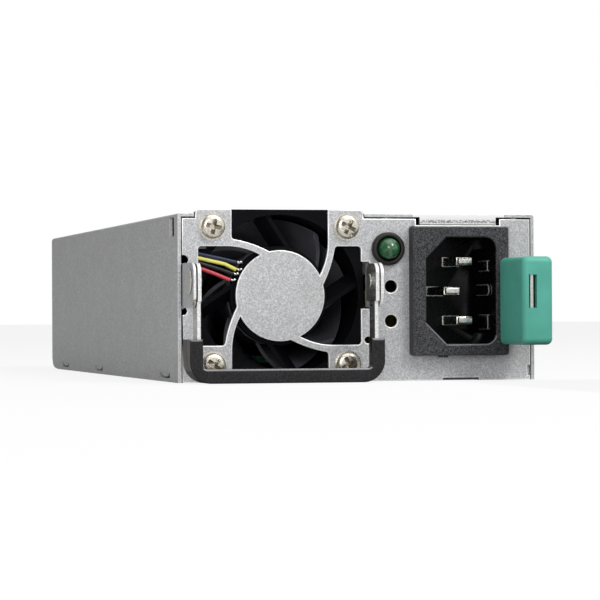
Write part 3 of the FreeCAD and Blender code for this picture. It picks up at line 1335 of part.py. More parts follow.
def inlet_housing():
    """Bezel, body and socket, with slots that hold the pins."""
    body = new_body()
    pad(body, "XZ_Plane", ("inlet_face", "front"),
        rectangle(about("inlet_x", "inlet_width"), about("inlet_height", "inlet_tall")))
    fillet(body, "bezel_corner", lambda edge: runs_along(edge, "y"))
    pad(body, "XZ_Plane", ("front", "inlet_back"),
        rectangle(about("inlet_x", "inlet_body_width"), about("inlet_height", "inlet_body_tall")))
    chamfer = "cavity_chamfer"
    socket = [("cavity_left", f"cavity_bottom + {chamfer}"),
              (f"cavity_left + {chamfer}", "cavity_bottom"), ("cavity_right", "cavity_bottom"),
              ("cavity_right", "cavity_top"), (f"cavity_left + {chamfer}", "cavity_top"),
              ("cavity_left", f"cavity_top - {chamfer}")]
    pocket(body, "XZ_Plane", ("inlet_face", "inlet_floor"), socket)
    right = measure("cavity_right")
    fillet(body, "cavity_corner", lambda edge: runs_along(edge, "y")
           and abs(edge.CenterOfMass.x - right) < TOLERANCE)
    slots = [box(about(x, "pin_width"), ("inlet_floor - overcut", "inlet_back + overcut"),
                 about(z, "pin_thickness")) for x, z in pin_spots()]
    keep("inlet_housing", cut(body, *slots))


def inlet_pins():
    """Two power pins and the longer earth pin."""
    line, neutral, earth = pin_spots()
    tip = "front + pin_setback"
    keep("inlet_power_pins", group(pin(line, tip), pin(neutral, tip)))
    keep("inlet_earth_pin", pin(earth, f"{tip} - earth_lead"))


def inlet_leads():
    """Three leads from the pins back and down to the main board."""
    line, neutral, earth = pin_spots()
    wire = measure("mains_wire")
    routes = {"line": (line, 2.5), "neutral": (neutral, 1), "earth": (earth, 1)}
    for name, (spot, wires_in) in routes.items():
        start = Vector(measure(spot[0]), measure("pin_end"), measure(spot[1]))
        turn = Vector(start.x, measure("board_front") + wires_in * wire, start.z)
        end = Vector(start.x, turn.y, measure("board_top"))
        keep(f"inlet_lead_{name}", made_feature(tube_along([start, turn, end], wire,
                                                           measure("mains_bend"))))


# ---------------------------------------------------------------- release latch
def latch_spring():
    """Spring strip along the side wall, through the panel and into the cap, with its catch."""
    body = new_body()
    path = [("strip_x", "latch_y + latch_tail"), ("strip_x", "front + jog_start"),
            ("strip_x - jog_reach", "front + jog_end"),
            ("strip_x - jog_reach", "cap_back - cap_jog_start"),
            ("slot_x", "cap_back - cap_jog_end"), ("slot_x", "cap_front + cap_wall - strip_lap")]
    half = "latch_strip / 2"
    outline = [(f"{x} - {half}", y) for x, y in path]
    outline += [(f"{x} + {half}", y) for x, y in reversed(path)]
    pad(body, "XY_Plane", ("latch_bottom", "strip_top"), outline)
    wedge = [("strip_x", "catch_front"), ("side + catch_reach", "catch_front"),
             ("side + catch_reach", "catch_front + catch_flat"), ("strip_face", "catch_back"),
             ("strip_x", "catch_back")]
    pad(body, "XY_Plane", about("catch_middle", "catch_height"), wedge)
    holes = [rod("x", spot, about("strip_x", "latch_strip + 2 * overcut"),
                 "latch_rivet + 2 * latch_play") for spot in latch_rivet_spots()]
    return keep("latch_spring", cut(body, *holes))


def latch_rivet_spots():
    """The two rivets one above the other, on the line that the strip bends about."""
    return [("latch_y", f"catch_middle + {step} * latch_height / 4") for step in (-1, 1)]


def latch_rivets():
    """Rivets from the side wall through the strip."""
    rivets = []
    under_head = "strip_x - latch_strip / 2 - latch_head_gap"
    for spot in latch_rivet_spots():
        shank = rod("x", spot, (under_head, "side"), "latch_rivet")
        head = rod("x", spot, (f"{under_head} - latch_rivet_height", under_head),
                   "latch_rivet + 2 * latch_rivet_rim")
        rivets.append(fuse(shank, head))
    keep("latch_rivets", group(*rivets))


def latch_cap(spring):
    """Hollow moulded cap on the end of the strip, with the slot in its face."""
    body = new_body()
    pad(body, "XZ_Plane", ("cap_front", "cap_back"),
        rectangle(("cap_left", "cap_right"), from_start("cap_bottom", "cap_height")))
    front = measure("cap_front")
    fillet(body, "cap_corner", lambda edge: runs_along(edge, "y")
           or abs(edge.CenterOfMass.y - front) < TOLERANCE)
    hollow = rectangle(("cap_left + cap_wall", "cap_right - cap_wall"),
                       ("latch_bottom - cap_play", "strip_top + cap_play"))
    pocket(body, "XZ_Plane", ("cap_front + cap_wall", "cap_back - cap_wall"), hollow)
    pocket(body, "XZ_Plane", ("cap_front - overcut", "cap_front + 2 * cap_wall"),
           rectangle(about("slot_x", "cap_slot_width"),
                     about("cap_middle + cap_slot_rise", "cap_slot_tall")))
    keep("latch_cap", cut(body, spring))


# ---------------------------------------------------------------- main board
def board_spot(part, step=0, row=0):
    """Where a part of the main board stands: its middle across and its middle along."""
    carrier = LEANS_ACROSS.get(part)
    across = f"{part}_across"
    if carrier:
        across = f"{carrier}_across - {carrier}_width / 2 - {part}_width / 2"
    carrier = LEANS_ALONG.get(part)
    along = f"{part}_along"
    if carrier:
        along = f"{carrier}_along - {carrier}_length / 2 - {part}_length / 2"
    edge = "board_back" if size(f"{carrier or part}_along") < 0 else "board_front"
    return f"{across} + {step} * {part}_width", f"{edge} + {along} + {row} * {part}_length"


def board_block(part, step=0, row=0):
    """A part of the main board as a plain block."""
    across, along = board_spot(part, step, row)
    return box(about(across, f"{part}_width"), about(along, f"{part}_length"),
               from_start("board_top", f"{part}_height"))


def standoff_spots():
    """The six places where the board is screwed down."""
    across = "board_half - standoff_inset"
    middle = "(board_front + board_back) / 2 + standoff_shift"
    return [(f"{side} * ({across})", along) for side in (-1, 1)
            for along in ("board_front + standoff_inset", middle, "board_back - standoff_inset")]


def main_board():
    """Main board with its card edge, and the film, standoffs and screws that hold it."""
    board = box(("-board_half", "board_half"), ("board_front", "board_back"),
                ("board_rise", "board_top"))
    tongue = box(("tongue_left", "tongue_right"), ("board_back - overcut", "tongue_back"),
                 ("board_rise", "board_top"))
    spots = standoff_spots()
    holes = [rod("z", spot, ("0", "board_top + overcut"), "board_screw + screw_play")
             for spot in spots]
    keep("main_board", cut(fuse(board, tongue), *holes))
    keep("board_standoffs", group(*[
        ring("z", spot, ("sheet", "board_rise"), "standoff_diameter", "board_screw")
        for spot in spots]))
    keep("board_screws", group(*[
        fuse(rod("z", spot, ("sheet + film_thickness", "board_top"), "board_screw"),
             rod("z", spot, from_start("board_top", "board_screw_head"), "2 * board_screw"))
        for spot in spots]))
    film = box(("-board_half + film_margin", "board_half - film_margin"),
               ("board_front", "board_back - film_rear_gap"),
               from_start("sheet + seat_gap", "film_thickness"))
    film_holes = [rod("z", spot, ("0", "board_rise"), "standoff_diameter + 2 * screw_play")
                  for spot in spots]
    keep("insulating_film", cut(film, *film_holes))


def edge_contacts():
    """Flat contacts on both faces of the card edge."""
    count = int(measure("tongue_width - 2 * contact_margin") // size("contact_pitch"))
    back = "tongue_back - contact_margin"
    contacts = []
    for i in range(count):
        x = f"tongue_offset + {i - (count - 1) / 2} * contact_pitch"
        for face in ("board_top", "board_rise - contact_thickness"):
            contacts.append(box(about(x, "contact_width"), (f"{back} - contact_length", back),
                                from_start(face, "contact_thickness")))
    keep("edge_contacts", group(*contacts))


def wound_ring(part):
    """A ring core standing on edge with a winding on each half; gives the base it stands in."""
    across, along = board_spot(part)
    middle = f"board_top + {part}_height / 2"
    axis = (along, middle)
    outer = f"min({part}_length; {part}_height - choke_gap)"
    wide = about(across, f"{part}_width")
    core = ring("x", axis, about(across, f"{part}_width * core_width_share"),
                f"{outer} * core_outer_share", f"{outer} * core_inner_share")
    wound = ring("x", axis, wide, outer, f"{outer} * turns_inner_share")
    gap = box((f"{wide[0]} - overcut", f"{wide[1]} + overcut"),
              about(along, f"{outer} * turns_gap_share"), about(middle, f"2 * {outer}"))
    foot = box(wide, about(along, f"{outer} / 2"),
               ("board_top", f"{middle} - {outer} * choke_base_share"))
    keep(f"{part}_core", core)
    keep(f"{part}_winding", cut(wound, gap, core))
    return cut(foot, rod("x", axis, (f"{wide[0]} - overcut", f"{wide[1]} + overcut"), outer))


def input_parts():
    """Fuse, interference capacitor, bridge rectifier and bulk capacitors."""
    across, along = board_spot("fuse")
    glass = about(along, "fuse_length")
    barrel = rod("y", (across, "board_top + fuse_height / 2"), glass, "fuse_width")
    clips = [box(about(across, "fuse_width * clip_width_share"), from_start(start, "fuse_clip"),
                 from_start("board_top", "fuse_height * clip_height_share"))
             for start in (glass[0], f"{glass[1]} - fuse_clip")]
    keep("fuse", fuse(barrel, *clips))
    keep("x_capacitor", board_block("x_capacitor"))
    keep("bridge_rectifier", board_block("bridge_rectifier"))
    keep("bulk_capacitors", group(*[
        board_can("bulk_capacitor", "capacitor_gap", step, 0) for step in (0, 1)]))


def board_can(part, gap, step, row):
    """A round can on the main board, narrower than its place by a gap."""
    return rod("z", board_spot(part, step, row), from_start("board_top", f"{part}_height"),
               f"min({part}_width; {part}_length) - {gap}")


def finned(part, lengthwise, fins):
    """A heatsink: a plate with fins on one side."""
    across, along = board_spot(part)
    tall = from_start("board_top", f"{part}_height")
    wide = about(across, f"{part}_width")
    long = about(along, f"{part}_length")
    run = f"{part}_length" if lengthwise else f"{part}_width"
    if lengthwise:
        blocks = [box(from_start(wide[0], "fin_plate"), long, tall)]
    else:
        blocks = [box(wide, from_start(long[0], "fin_plate"), tall)]
    for i in range(fins):
        place = f"({i} + 0.5) * {run} / {fins} - {run} / 2"
        if lengthwise:
            blocks.append(box(wide, about(f"{along} + {place}", "fin_thickness"), tall))
        else:
            blocks.append(box(about(f"{across} + {place}", "fin_thickness"), long, tall))
    return fuse(*blocks)


def transformer():
    """Main transformer: a core with two windows, and the winding round its middle leg."""
    across, along = board_spot("transformer")
    middle = "board_top + transformer_height / 2"
    core = board_block("transformer")
    window = box(about(across, "transformer_width * window_width_share"),
                 about(along, "2 * transformer_length"),
                 about(middle, "transformer_height * window_height_share"))
    leg = box(about(across, "transformer_width * leg_width_share"), about(along, "transformer_length"),
              about(middle, "transformer_height * leg_height_share"))
    keep("transformer_core", fuse(cut(core, window), leg))
    winding = box(about(across, "transformer_width * winding_width_share"),
                  about(along, "transformer_length + 2 * winding_reach"),
                  about(middle, "transformer_height * winding_height_share"))
    keep("transformer_winding", cut(winding, leg))


def power_parts():
    """Heatsinks with their transistors, the transformers, the chokes and the output capacitors."""
    keep("primary_heatsink", finned("primary_heatsink", True, 12))
    keep("primary_transistors", group(*[
        board_block("primary_transistor", 0, ROW_SHARE * row) for row in (0, 1, 2)]))
    transformer()
    keep("standby_transformer", board_block("standby_transformer"))
    keep("secondary_heatsink", finned("secondary_heatsink", False, 11))
    keep("rectifier_transistors", group(*[
        board_block("rectifier_transistor", ROW_SHARE * step) for step in (0, 1, 2, 3)]))
    keep("choke_bases", group(*[wound_ring(part) for part in
                                ("pfc_choke", "input_choke", "output_inductor")]))
    keep("output_capacitors", group(*[
        board_can("output_capacitor", "0", ROW_SHARE * step, ROW_SHARE * row)
        for step in (0, 1, 2, 3) for row in (0, 1)]))


def control_card():
    """Upright control card with its chips."""
    across, along = board_spot("control_card")
    keep("control_card", board_block("control_card"))
    face = from_start(f"{across} + control_card_width / 2", "chip_height")
    chips = [box(face, about(f"{along} + {step} * control_card_length * chip_step_share",
                             "control_card_length * chip_length_share"),
                 about("board_top + control_card_height / 2", "control_card_height * chip_height_share"))
             for step in (-1, 0, 1)]
    keep("control_chips", group(*chips))


# ---------------------------------------------------------------- check and export
def check(item):
    """Stop if a piece is missing, failed or not a valid shape."""
    if item.Shape.isNull() or not item.Shape.isValid():
        raise RuntimeError(f"{item.Label}: no valid shape")
    if not item.Shape.Solids:
        raise RuntimeError(f"{item.Label}: no solid")


def export():
    """Check every object, then write each piece to its own file."""
    DOC.recompute()
    for item in DOC.Objects:
        if {"Invalid", "Error"} & set(item.State):
            raise RuntimeError(f"{item.Name} ({item.Label}) failed: {item.State}")
    labels = [item.Label for item in NODES]
    if len(set(labels)) != len(labels):
        raise RuntimeError("two pieces share a name")
    for item in NODES:
        check(item)
    os.makedirs("parts", exist_ok=True)
    for item in NODES:
        item.Shape.exportStep(f"parts/{item.Label}.step")


def build():
    """Make every piece."""
    fill_sheet()
    base_tray()
    top_cover()
    cover_screws()
    front_panel()
    rear_panel()
    fan_frame()
    fan_bearings()
    fan_shaft()
    fan_rotor()
    fan_motor()
    fan_screws()
    fan_leads()
    fan_plug()
    handle_grip(handle_bail())
    handle_rivets()
    status_lamp()
    inlet_housing()
    inlet_pins()
    inlet_leads()
    latch_cap(latch_spring())
    latch_rivets()
    main_board()
    edge_contacts()
    input_parts()
    power_parts()
    control_card()


build()
export()
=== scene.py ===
"""Looks of the hot swap server power supply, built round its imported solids.

Metres.  X runs to the right as the front is looked at, Y from the front to the rear, Z up.
"""
import bmesh
import bpy
import json
import math
from mathutils import Matrix, Vector

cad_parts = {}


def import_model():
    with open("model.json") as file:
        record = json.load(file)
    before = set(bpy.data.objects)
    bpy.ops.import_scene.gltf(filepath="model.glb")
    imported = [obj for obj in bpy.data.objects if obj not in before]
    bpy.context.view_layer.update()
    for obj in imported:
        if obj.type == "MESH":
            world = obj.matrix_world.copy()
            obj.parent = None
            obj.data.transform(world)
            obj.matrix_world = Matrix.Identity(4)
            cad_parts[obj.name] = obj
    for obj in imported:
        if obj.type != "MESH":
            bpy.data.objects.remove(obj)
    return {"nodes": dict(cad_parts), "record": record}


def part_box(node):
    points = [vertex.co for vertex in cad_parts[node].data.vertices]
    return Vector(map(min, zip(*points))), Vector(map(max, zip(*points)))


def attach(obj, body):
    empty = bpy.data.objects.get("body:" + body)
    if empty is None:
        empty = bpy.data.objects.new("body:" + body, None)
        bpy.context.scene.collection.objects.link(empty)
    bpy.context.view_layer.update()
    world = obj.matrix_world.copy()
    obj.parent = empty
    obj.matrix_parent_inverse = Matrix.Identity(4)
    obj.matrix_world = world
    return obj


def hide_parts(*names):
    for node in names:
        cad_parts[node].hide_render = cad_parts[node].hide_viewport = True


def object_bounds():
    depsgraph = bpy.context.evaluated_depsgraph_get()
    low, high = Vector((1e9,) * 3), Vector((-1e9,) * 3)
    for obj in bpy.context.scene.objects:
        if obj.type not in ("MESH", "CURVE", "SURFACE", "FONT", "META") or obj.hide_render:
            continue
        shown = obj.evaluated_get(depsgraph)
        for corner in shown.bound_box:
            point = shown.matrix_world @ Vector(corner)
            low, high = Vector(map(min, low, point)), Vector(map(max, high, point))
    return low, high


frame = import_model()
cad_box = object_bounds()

MM = 0.001
SHEET = 0.8 * MM          # thickness of the case's sheets
SCREW_HEAD = 5.7 * MM     # across the heads of the fan's screws
WELD = 0.002 * MM         # corners nearer than this become one
HAIR = 0.01 * MM          # faces nearer than this lie in one plane
SHARP = math.radians(50)  # edges that turn by more than this are sharp
TURN_STEPS = 48           # flats round a turned piece

# The record's slot of each CAD node, read before any finish is given.
SLOT_OF = {name: node.material_slots[0].material.name.split(".")[0]
           for name, node in frame["nodes"].items()}
BODY_OF = {node: body for body, nodes in frame["record"]["behaviour"]["bodies"].items()
           for node in nodes}
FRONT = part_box("top_cover")[0].y
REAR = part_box("rear_panel")[1].y
SOCKET_SIDE = 3.2 * MM    # from the inlet's left and right to its socket
SOCKET_END = 2.7 * MM     # from the inlet's top and foot to its socket


# ---------------------------------------------------------------- colours and nodes
def colour(code):
    """An sRGB hex code as a linear colour with full alpha."""
    channels = [int(code[i:i + 2], 16) / 255 for i in (1, 3, 5)]
    return [c / 12.92 if c <= 0.04045 else ((c + 0.055) / 1.055) ** 2.4 for c in channels] + [1.0]


def add(tree, kind, inputs=None, **settings):
    """A node with its settings; each input is a value, or the output that feeds it."""
    node = tree.nodes.new(kind)
    for name, value in settings.items():
        setattr(node, name, value)
    for name, value in (inputs or {}).items():
        if isinstance(value, bpy.types.NodeSocket):
            tree.links.new(value, node.inputs[name])
        else:
            node.inputs[name].default_value = value
    return node


def blank(name):
    """An empty material, its tree, and the place on the piece that its patterns read."""
    material = bpy.data.materials.new(name)
    material.use_nodes = True
    tree = material.node_tree
    tree.nodes.clear()
    return material, tree, add(tree, "ShaderNodeTexCoord").outputs["Object"]


def finish(tree, **sockets):
    """The surface shader with its sockets, fed to the material's output."""
    inputs = {name.replace("_", " "): value for name, value in sockets.items()}
    shader = add(tree, "ShaderNodeBsdfPrincipled", inputs)
    add(tree, "ShaderNodeOutputMaterial", {"Surface": shader.outputs["BSDF"]})


def noise(tree, place, grain, detail=2.0, rough=0.5):
    """Noise whose grains are about the given size."""
    return add(tree, "ShaderNodeTexNoise", {"Vector": place, "Scale": 1 / grain, "Detail": detail,
                                            "Roughness": rough}).outputs["Fac"]


def spread(tree, factor, low, high, start=0.3, end=0.7):
    """A number from low to high as the factor goes from start to end."""
    return add(tree, "ShaderNodeMapRange", {"Value": factor, "From Min": start, "From Max": end,
                                            "To Min": low, "To Max": high}).outputs["Result"]


def between(tree, factor, first, second):
    """A colour between two, by a factor from 0 to 1."""
    return add(tree, "ShaderNodeMix", {0: factor, 6: first, 7: second},
               data_type="RGBA").outputs[2]


def bump(tree, height, depth, strength=1.0):
    """A normal raised by a height from 0 to 1 over a depth in metres."""
    return add(tree, "ShaderNodeBump", {"Height": height, "Distance": depth,
                                        "Strength": strength}).outputs["Normal"]


# ---------------------------------------------------------------- metals
def galvanised_steel():
    """Zinc coated sheet: fine bright and dull spangles in a soft satin grey."""
    material, tree, place = blank("galvanised_steel")
    cells = add(tree, "ShaderNodeTexVoronoi", {"Vector": place, "Scale": 1 / (0.6 * MM)})
    cell = add(tree, "ShaderNodeSeparateColor", {"Color": cells.outputs["Color"]})
    fine = noise(tree, place, 0.28 * MM, 3.0)
    broad = noise(tree, place, 9 * MM, 4.0)
    tint = between(tree, spread(tree, fine, 0.0, 1.0, 0.35, 0.65), colour("#A4A5A8"),
                   colour("#D9DADC"))
    tint = between(tree, spread(tree, cell.outputs["Red"], 0.0, 0.3, 0.0, 1.0), tint,
                   colour("#9FA1A5"))
    tint = between(tree, spread(tree, broad, 0.0, 0.2, 0.35, 0.65), tint, colour("#A9A79F"))
    rough = spread(tree, cell.outputs["Green"], 0.52, 0.68, 0.0, 1.0)
    finish(tree, Base_Color=tint, Metallic=0.5, Roughness=rough,
           Normal=bump(tree, fine, 0.02 * MM, 0.5))
    return material


def sheared_steel_painted_glint():
    """Cut edge of sheet steel: bare and smoother than the coated face, its near white tone partly
    a painted glint.
    """
    material, tree, place = blank("sheared_steel_painted_glint")
    streak = noise(tree, place, 0.4 * MM)
    tint = between(tree, spread(tree, streak, 0.0, 1.0), colour("#CFCFCE"), colour("#F6F6F5"))
    finish(tree, Base_Color=tint, Metallic=0.4, Roughness=spread(tree, streak, 0.28, 0.42),
           Normal=bump(tree, streak, 0.02 * MM, 0.5))
    return material


def tab_painted_highlight():
    """Front of the cover's tab: near white as a painted highlight of its bend, with a streaky grey
    band across its middle.
    """
    material, tree, place = blank("tab_painted_highlight")
    height = add(tree, "ShaderNodeSeparateXYZ", {"Vector": place}).outputs["Z"]
    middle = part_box("top_cover")[1].z - 1.55 * MM
    above = spread(tree, height, 1.0, 0.0, middle, middle + 0.35 * MM)
    below = spread(tree, height, 0.0, 1.0, middle - 0.75 * MM, middle - 0.4 * MM)
    band = add(tree, "ShaderNodeMath", {0: above, 1: below}, operation="MULTIPLY").outputs[0]
    lines = add(tree, "ShaderNodeMapping", {"Vector": place, "Scale": (0.7, 1.0, 1.0)})
    streaky = noise(tree, lines.outputs["Vector"], 0.35 * MM, 3.0, 0.7)
    streaky = spread(tree, streaky, 0.0, 1.0, 0.4, 0.55)
    share = add(tree, "ShaderNodeMath", {0: band, 1: streaky}, operation="MULTIPLY").outputs[0]
    # Near white stands in for the light on the tab's bend: a painted highlight.
    tint = between(tree, share, colour("#F4F4F4"), colour("#7C7C7A"))
    finish(tree, Base_Color=tint, Metallic=0.3, Roughness=0.4,
           Normal=bump(tree, share, 0.03 * MM, 0.5))
    return material


def bright_steel():
    """Cold rolled strip: bright, with faint rolling lines along the case."""
    material, tree, place = blank("bright_steel")
    lines = add(tree, "ShaderNodeMapping", {"Vector": place, "Scale": (1.0, 0.06, 1.0)})
    streak = noise(tree, lines.outputs["Vector"], 0.4 * MM, 3.0)
    tint = between(tree, spread(tree, streak, 0.0, 1.0), colour("#BDBDB8"), colour("#DEDEDA"))
    finish(tree, Base_Color=tint, Metallic=0.95, Roughness=spread(tree, streak, 0.26, 0.4),
           Normal=bump(tree, streak, 0.01 * MM, 0.4))
    return material


def plated(name, dull, bright, low, high, grain):
    """Plated metal: tone and gloss vary a little with the plating's grain."""
    material, tree, place = blank(name)
    patch = noise(tree, place, grain, 3.0)
    tint = between(tree, spread(tree, patch, 0.0, 1.0), colour(dull), colour(bright))
    finish(tree, Base_Color=tint, Metallic=1.0, Roughness=spread(tree, patch, low, high),
           Normal=bump(tree, patch, 0.01 * MM, 0.6))
    return material


def scraped_zinc():
    """Zinc scraped through where the sheet was folded: brown stains on a bright ground."""
    material, tree, place = blank("scraped_zinc")
    stain = noise(tree, place, 1.2 * MM, 4.0)
    tint = between(tree, spread(tree, stain, 0.0, 1.0, 0.46, 0.58), colour("#D9D9D4"),
                   colour("#7A6C52"))
    finish(tree, Base_Color=tint, Metallic=0.7, Roughness=spread(tree, stain, 0.32, 0.6))
    return material


# ---------------------------------------------------------------- plastics and the rest
def moulded(name, dark, light, rough, grain, depth, gloss=0.5):
    """Moulded plastic: a fine moulded grain, and a slow change of tone."""
    material, tree, place = blank(name)
    grains = noise(tree, place, grain)
    slow = noise(tree, place, 8 * MM)
    tint = between(tree, spread(tree, slow, 0.0, 1.0), colour(dark), colour(light))
    finish(tree, Base_Color=tint, Roughness=spread(tree, grains, rough - 0.05, rough + 0.05),
           Specular_IOR_Level=gloss, Normal=bump(tree, grains, depth, 0.6))
    return material


def spark_textured():
    """Spark eroded black nylon: a coarse sandy surface with pale high points."""
    material, tree, place = blank("spark_textured_nylon")
    grit = noise(tree, place, 0.24 * MM, rough=0.6)
    tint = between(tree, spread(tree, grit, 0.0, 1.0, 0.36, 0.7), colour("#101012"),
                   colour("#606064"))
    finish(tree, Base_Color=tint, Roughness=spread(tree, grit, 0.5, 0.7),
           Specular_IOR_Level=0.2, Normal=bump(tree, grit, 0.05 * MM, 0.7))
    return material


def soft_textured():
    """Textured handle nylon: warm black with a close, low grain that dulls its shine."""
    material, tree, place = blank("textured_grip_nylon")
    grain = noise(tree, place, 0.35 * MM, rough=0.6)
    slow = noise(tree, place, 6 * MM)
    tint = between(tree, spread(tree, grain, 0.0, 1.0, 0.35, 0.65), colour("#0B0A0B"),
                   colour("#29272A"))
    tint = between(tree, spread(tree, slow, 0.0, 0.35), tint, colour("#1A1718"))
    finish(tree, Base_Color=tint, Roughness=spread(tree, grain, 0.42, 0.6),
           Specular_IOR_Level=0.22, Normal=bump(tree, grain, 0.05 * MM, 0.7))
    return material


def grip_side_painted_sheen():
    """Side of the grip: a greyer brown painted lighter than the front as a sheen, with upright
    streaks where the mould drew along it.
    """
    material, tree, place = blank("grip_side_painted_sheen")
    lines = add(tree, "ShaderNodeMapping", {"Vector": place, "Scale": (1.0, 1.0, 0.08)})
    streak = noise(tree, lines.outputs["Vector"], 0.9 * MM)
    tint = between(tree, spread(tree, streak, 0.0, 1.0, 0.4, 0.6), colour("#201C1B"),
                   colour("#554E4A"))
    finish(tree, Base_Color=tint, Roughness=0.45, Specular_IOR_Level=0.3,
           Normal=bump(tree, streak, 0.05 * MM, 0.5))
    return material


def lens_green():
    """Tinted acrylic dome: deep green with a clear glossy skin."""
    material, tree, place = blank("tinted_acrylic")
    cloud = noise(tree, place, 2.5 * MM)
    tint = between(tree, spread(tree, cloud, 0.0, 1.0), colour("#1A4F2B"), colour("#2C663E"))
    finish(tree, Base_Color=tint, Roughness=0.14, IOR=1.49, Coat_Weight=0.7,
           Coat_Roughness=0.04, Normal=bump(tree, cloud, 0.02 * MM, 0.2))
    return material


def solder_mask():
    """Green solder mask: copper tracks show through as lighter lines."""
    material, tree, place = blank("solder_mask")
    tracks = add(tree, "ShaderNodeTexBrick", {"Vector": place, "Scale": 1 / (4 * MM),
                                              "Color1": colour("#1E5A3C"),
                                              "Color2": colour("#246A47"),
                                              "Mortar": colour("#3B7F58"),
                                              "Mortar Size": 0.04})
    dust = noise(tree, place, 0.6 * MM)
    finish(tree, Base_Color=tracks.outputs["Color"], Roughness=spread(tree, dust, 0.28, 0.4),
           Normal=bump(tree, tracks.outputs["Fac"], 0.03 * MM, 0.4))
    return material


def enamelled_copper():
    """Enamelled copper wire wound close: fine ridges of warm lacquered metal."""
    material, tree, place = blank("enamelled_copper")
    turns = add(tree, "ShaderNodeTexWave", {"Vector": place, "Scale": 1 / (5 * MM),
                                            "Distortion": 1.5}).outputs["Fac"]
    tint = between(tree, turns, colour("#8A4A22"), colour("#D08A52"))
    finish(tree, Base_Color=tint, Metallic=0.8, Roughness=spread(tree, turns, 0.3, 0.4, 0, 1),
           Normal=bump(tree, turns, 0.3 * MM))
    return material


def pressed_ceramic(name, dark, light, rough):
    """Pressed and fired powder: a dull, slightly pitted surface."""
    material, tree, place = blank(name)
    pits = noise(tree, place, 0.5 * MM, 4.0)
    tint = between(tree, spread(tree, pits, 0.0, 1.0), colour(dark), colour(light))
    finish(tree, Base_Color=tint, Roughness=spread(tree, pits, rough, rough + 0.15),
           Normal=bump(tree, pits, 0.05 * MM, 0.6))
    return material


FINISHES = {
    "galvanised_steel": galvanised_steel(),
    "bright_steel": bright_steel(),
    # Nickel on the screws: a warm bright skin whose gloss comes and goes.
    "nickel_plate": plated("nickel_plate", "#B4AEA2", "#E6E1D6", 0.24, 0.36, 0.3 * MM),
    # Turned brass of the board's standoffs: yellow, and a little dull.
    "brass": plated("brass", "#B8964F", "#D2B36A", 0.25, 0.4, 1.0 * MM),
    # Extruded aluminium of the heatsinks: pale grey with a satin gloss.
    "aluminium": plated("extruded_aluminium", "#C4C5C7", "#DADBDC", 0.34, 0.46, 1.2 * MM),
    # Tin on the inlet's pins and on bare wires: pale and glossy, with dull clouds.
    "tin": plated("tin_plate", "#A5A39E", "#E4E2DD", 0.16, 0.3, 0.7 * MM),
    # Gold on the card's contacts: a rich even yellow.
    "gold": plated("gold_flash", "#D3A646", "#E6C26A", 0.2, 0.3, 0.6 * MM),
    "copper": enamelled_copper(),
    # Sintered ferrite of the cores: a dull charcoal.
    "ferrite": pressed_ceramic("ferrite", "#26272A", "#3A3B3E", 0.5),
    # Fired tube of the fuse: cream, with a faint glaze.
    "ceramic": pressed_ceramic("fuse_ceramic", "#D2CCBE", "#E4DFD2", 0.35),
    "circuit_board": solder_mask(),
    "inlet_plastic": spark_textured(),
    "grip_plastic": soft_textured(),
    "green_lens": lens_green(),
    # Glass filled nylon of the fan's frame and small parts: a deep black that hardly shines.
    "black_plastic": moulded("glass_filled_nylon", "#09090C", "#0E0E12", 0.5, 0.3 * MM,
                             0.02 * MM, 0.05),
    # Polyester of the rotor: a charcoal painted lighter than the black frame, as painted light on
    # its shaded blades, with a low sheen.
    "fan_plastic": moulded("fan_polyester_painted_light", "#44444B", "#56565D", 0.32, 0.35 * MM, 0.01 * MM,
                           0.35),
    # Nylon of the lamp's holder: a warm black satin.
    "lamp_plastic": moulded("lamp_holder_nylon", "#1A1816", "#24221F", 0.45, 0.2 * MM,
                            0.01 * MM, 0.3),
    # Natural nylon of the fan's plug: milky and waxy.
    "white_plastic": moulded("connector_nylon", "#D8D5CB", "#E2DFD6", 0.4, 0.3 * MM, 0.01 * MM),
    # Polyester tape of the transformers and the box capacitor: a clean glossy yellow.
    "yellow_plastic": moulded("tape_polyester", "#C9A13A", "#D8B450", 0.3, 0.5 * MM, 0.02 * MM),
    # Coloured polycarbonate of the latch's cap: an even sea green satin.
    "green_plastic": moulded("polycarbonate", "#55AC9A", "#5EB8A6", 0.45, 0.3 * MM, 0.012 * MM,
                             0.35),
    # Sheet under the board: dark and slick.
    "film": moulded("insulating_film", "#2A2A2A", "#343434", 0.3, 1.0 * MM, 0.01 * MM),
    # Sleeve shrunk on the capacitors: a tight glossy blue black.
    "capacitor_sleeve": moulded("shrunk_sleeve", "#171826", "#20222F", 0.28, 0.5 * MM,
                                0.01 * MM),
    # Extruded jackets of the leads: plain colours with a soft wet shine.
    "red_lead": moulded("red_pvc", "#B8303F", "#CE4552", 0.34, 0.4 * MM, 0.01 * MM),
    "black_lead": moulded("black_pvc", "#141417", "#1C1C20", 0.34, 0.4 * MM, 0.01 * MM, 0.3),
    "yellow_lead": moulded("yellow_pvc", "#D3CB52", "#E8E274", 0.34, 0.4 * MM, 0.01 * MM),
    "blue_lead": moulded("blue_pvc", "#1E2740", "#2A3450", 0.34, 0.4 * MM, 0.01 * MM, 0.3),
    "brown_lead": moulded("brown_pvc", "#4E2F18", "#5E3A20", 0.34, 0.4 * MM, 0.01 * MM),
    "green_lead": moulded("green_pvc", "#2E7A33", "#3F8E44", 0.34, 0.4 * MM, 0.01 * MM),
}
# Cut edges: bare steel, painted near white as a glint.
CUT_EDGE_PAINTED_GLINT = sheared_steel_painted_glint()
SCRAPED_FOLD = scraped_zinc()
TAB_FACE = tab_painted_highlight()
GRIP_SIDE = grip_side_painted_sheen()
# Inside of the mains socket, from a polished core: near black, painted darker than the bezel as
# shade in the deep socket, with a sharp reflection.
SOCKET = moulded("socket_nylon_painted_shade", "#050507", "#0A0A0D", 0.26, 0.8 * MM, 0.01 * MM, 0.1)
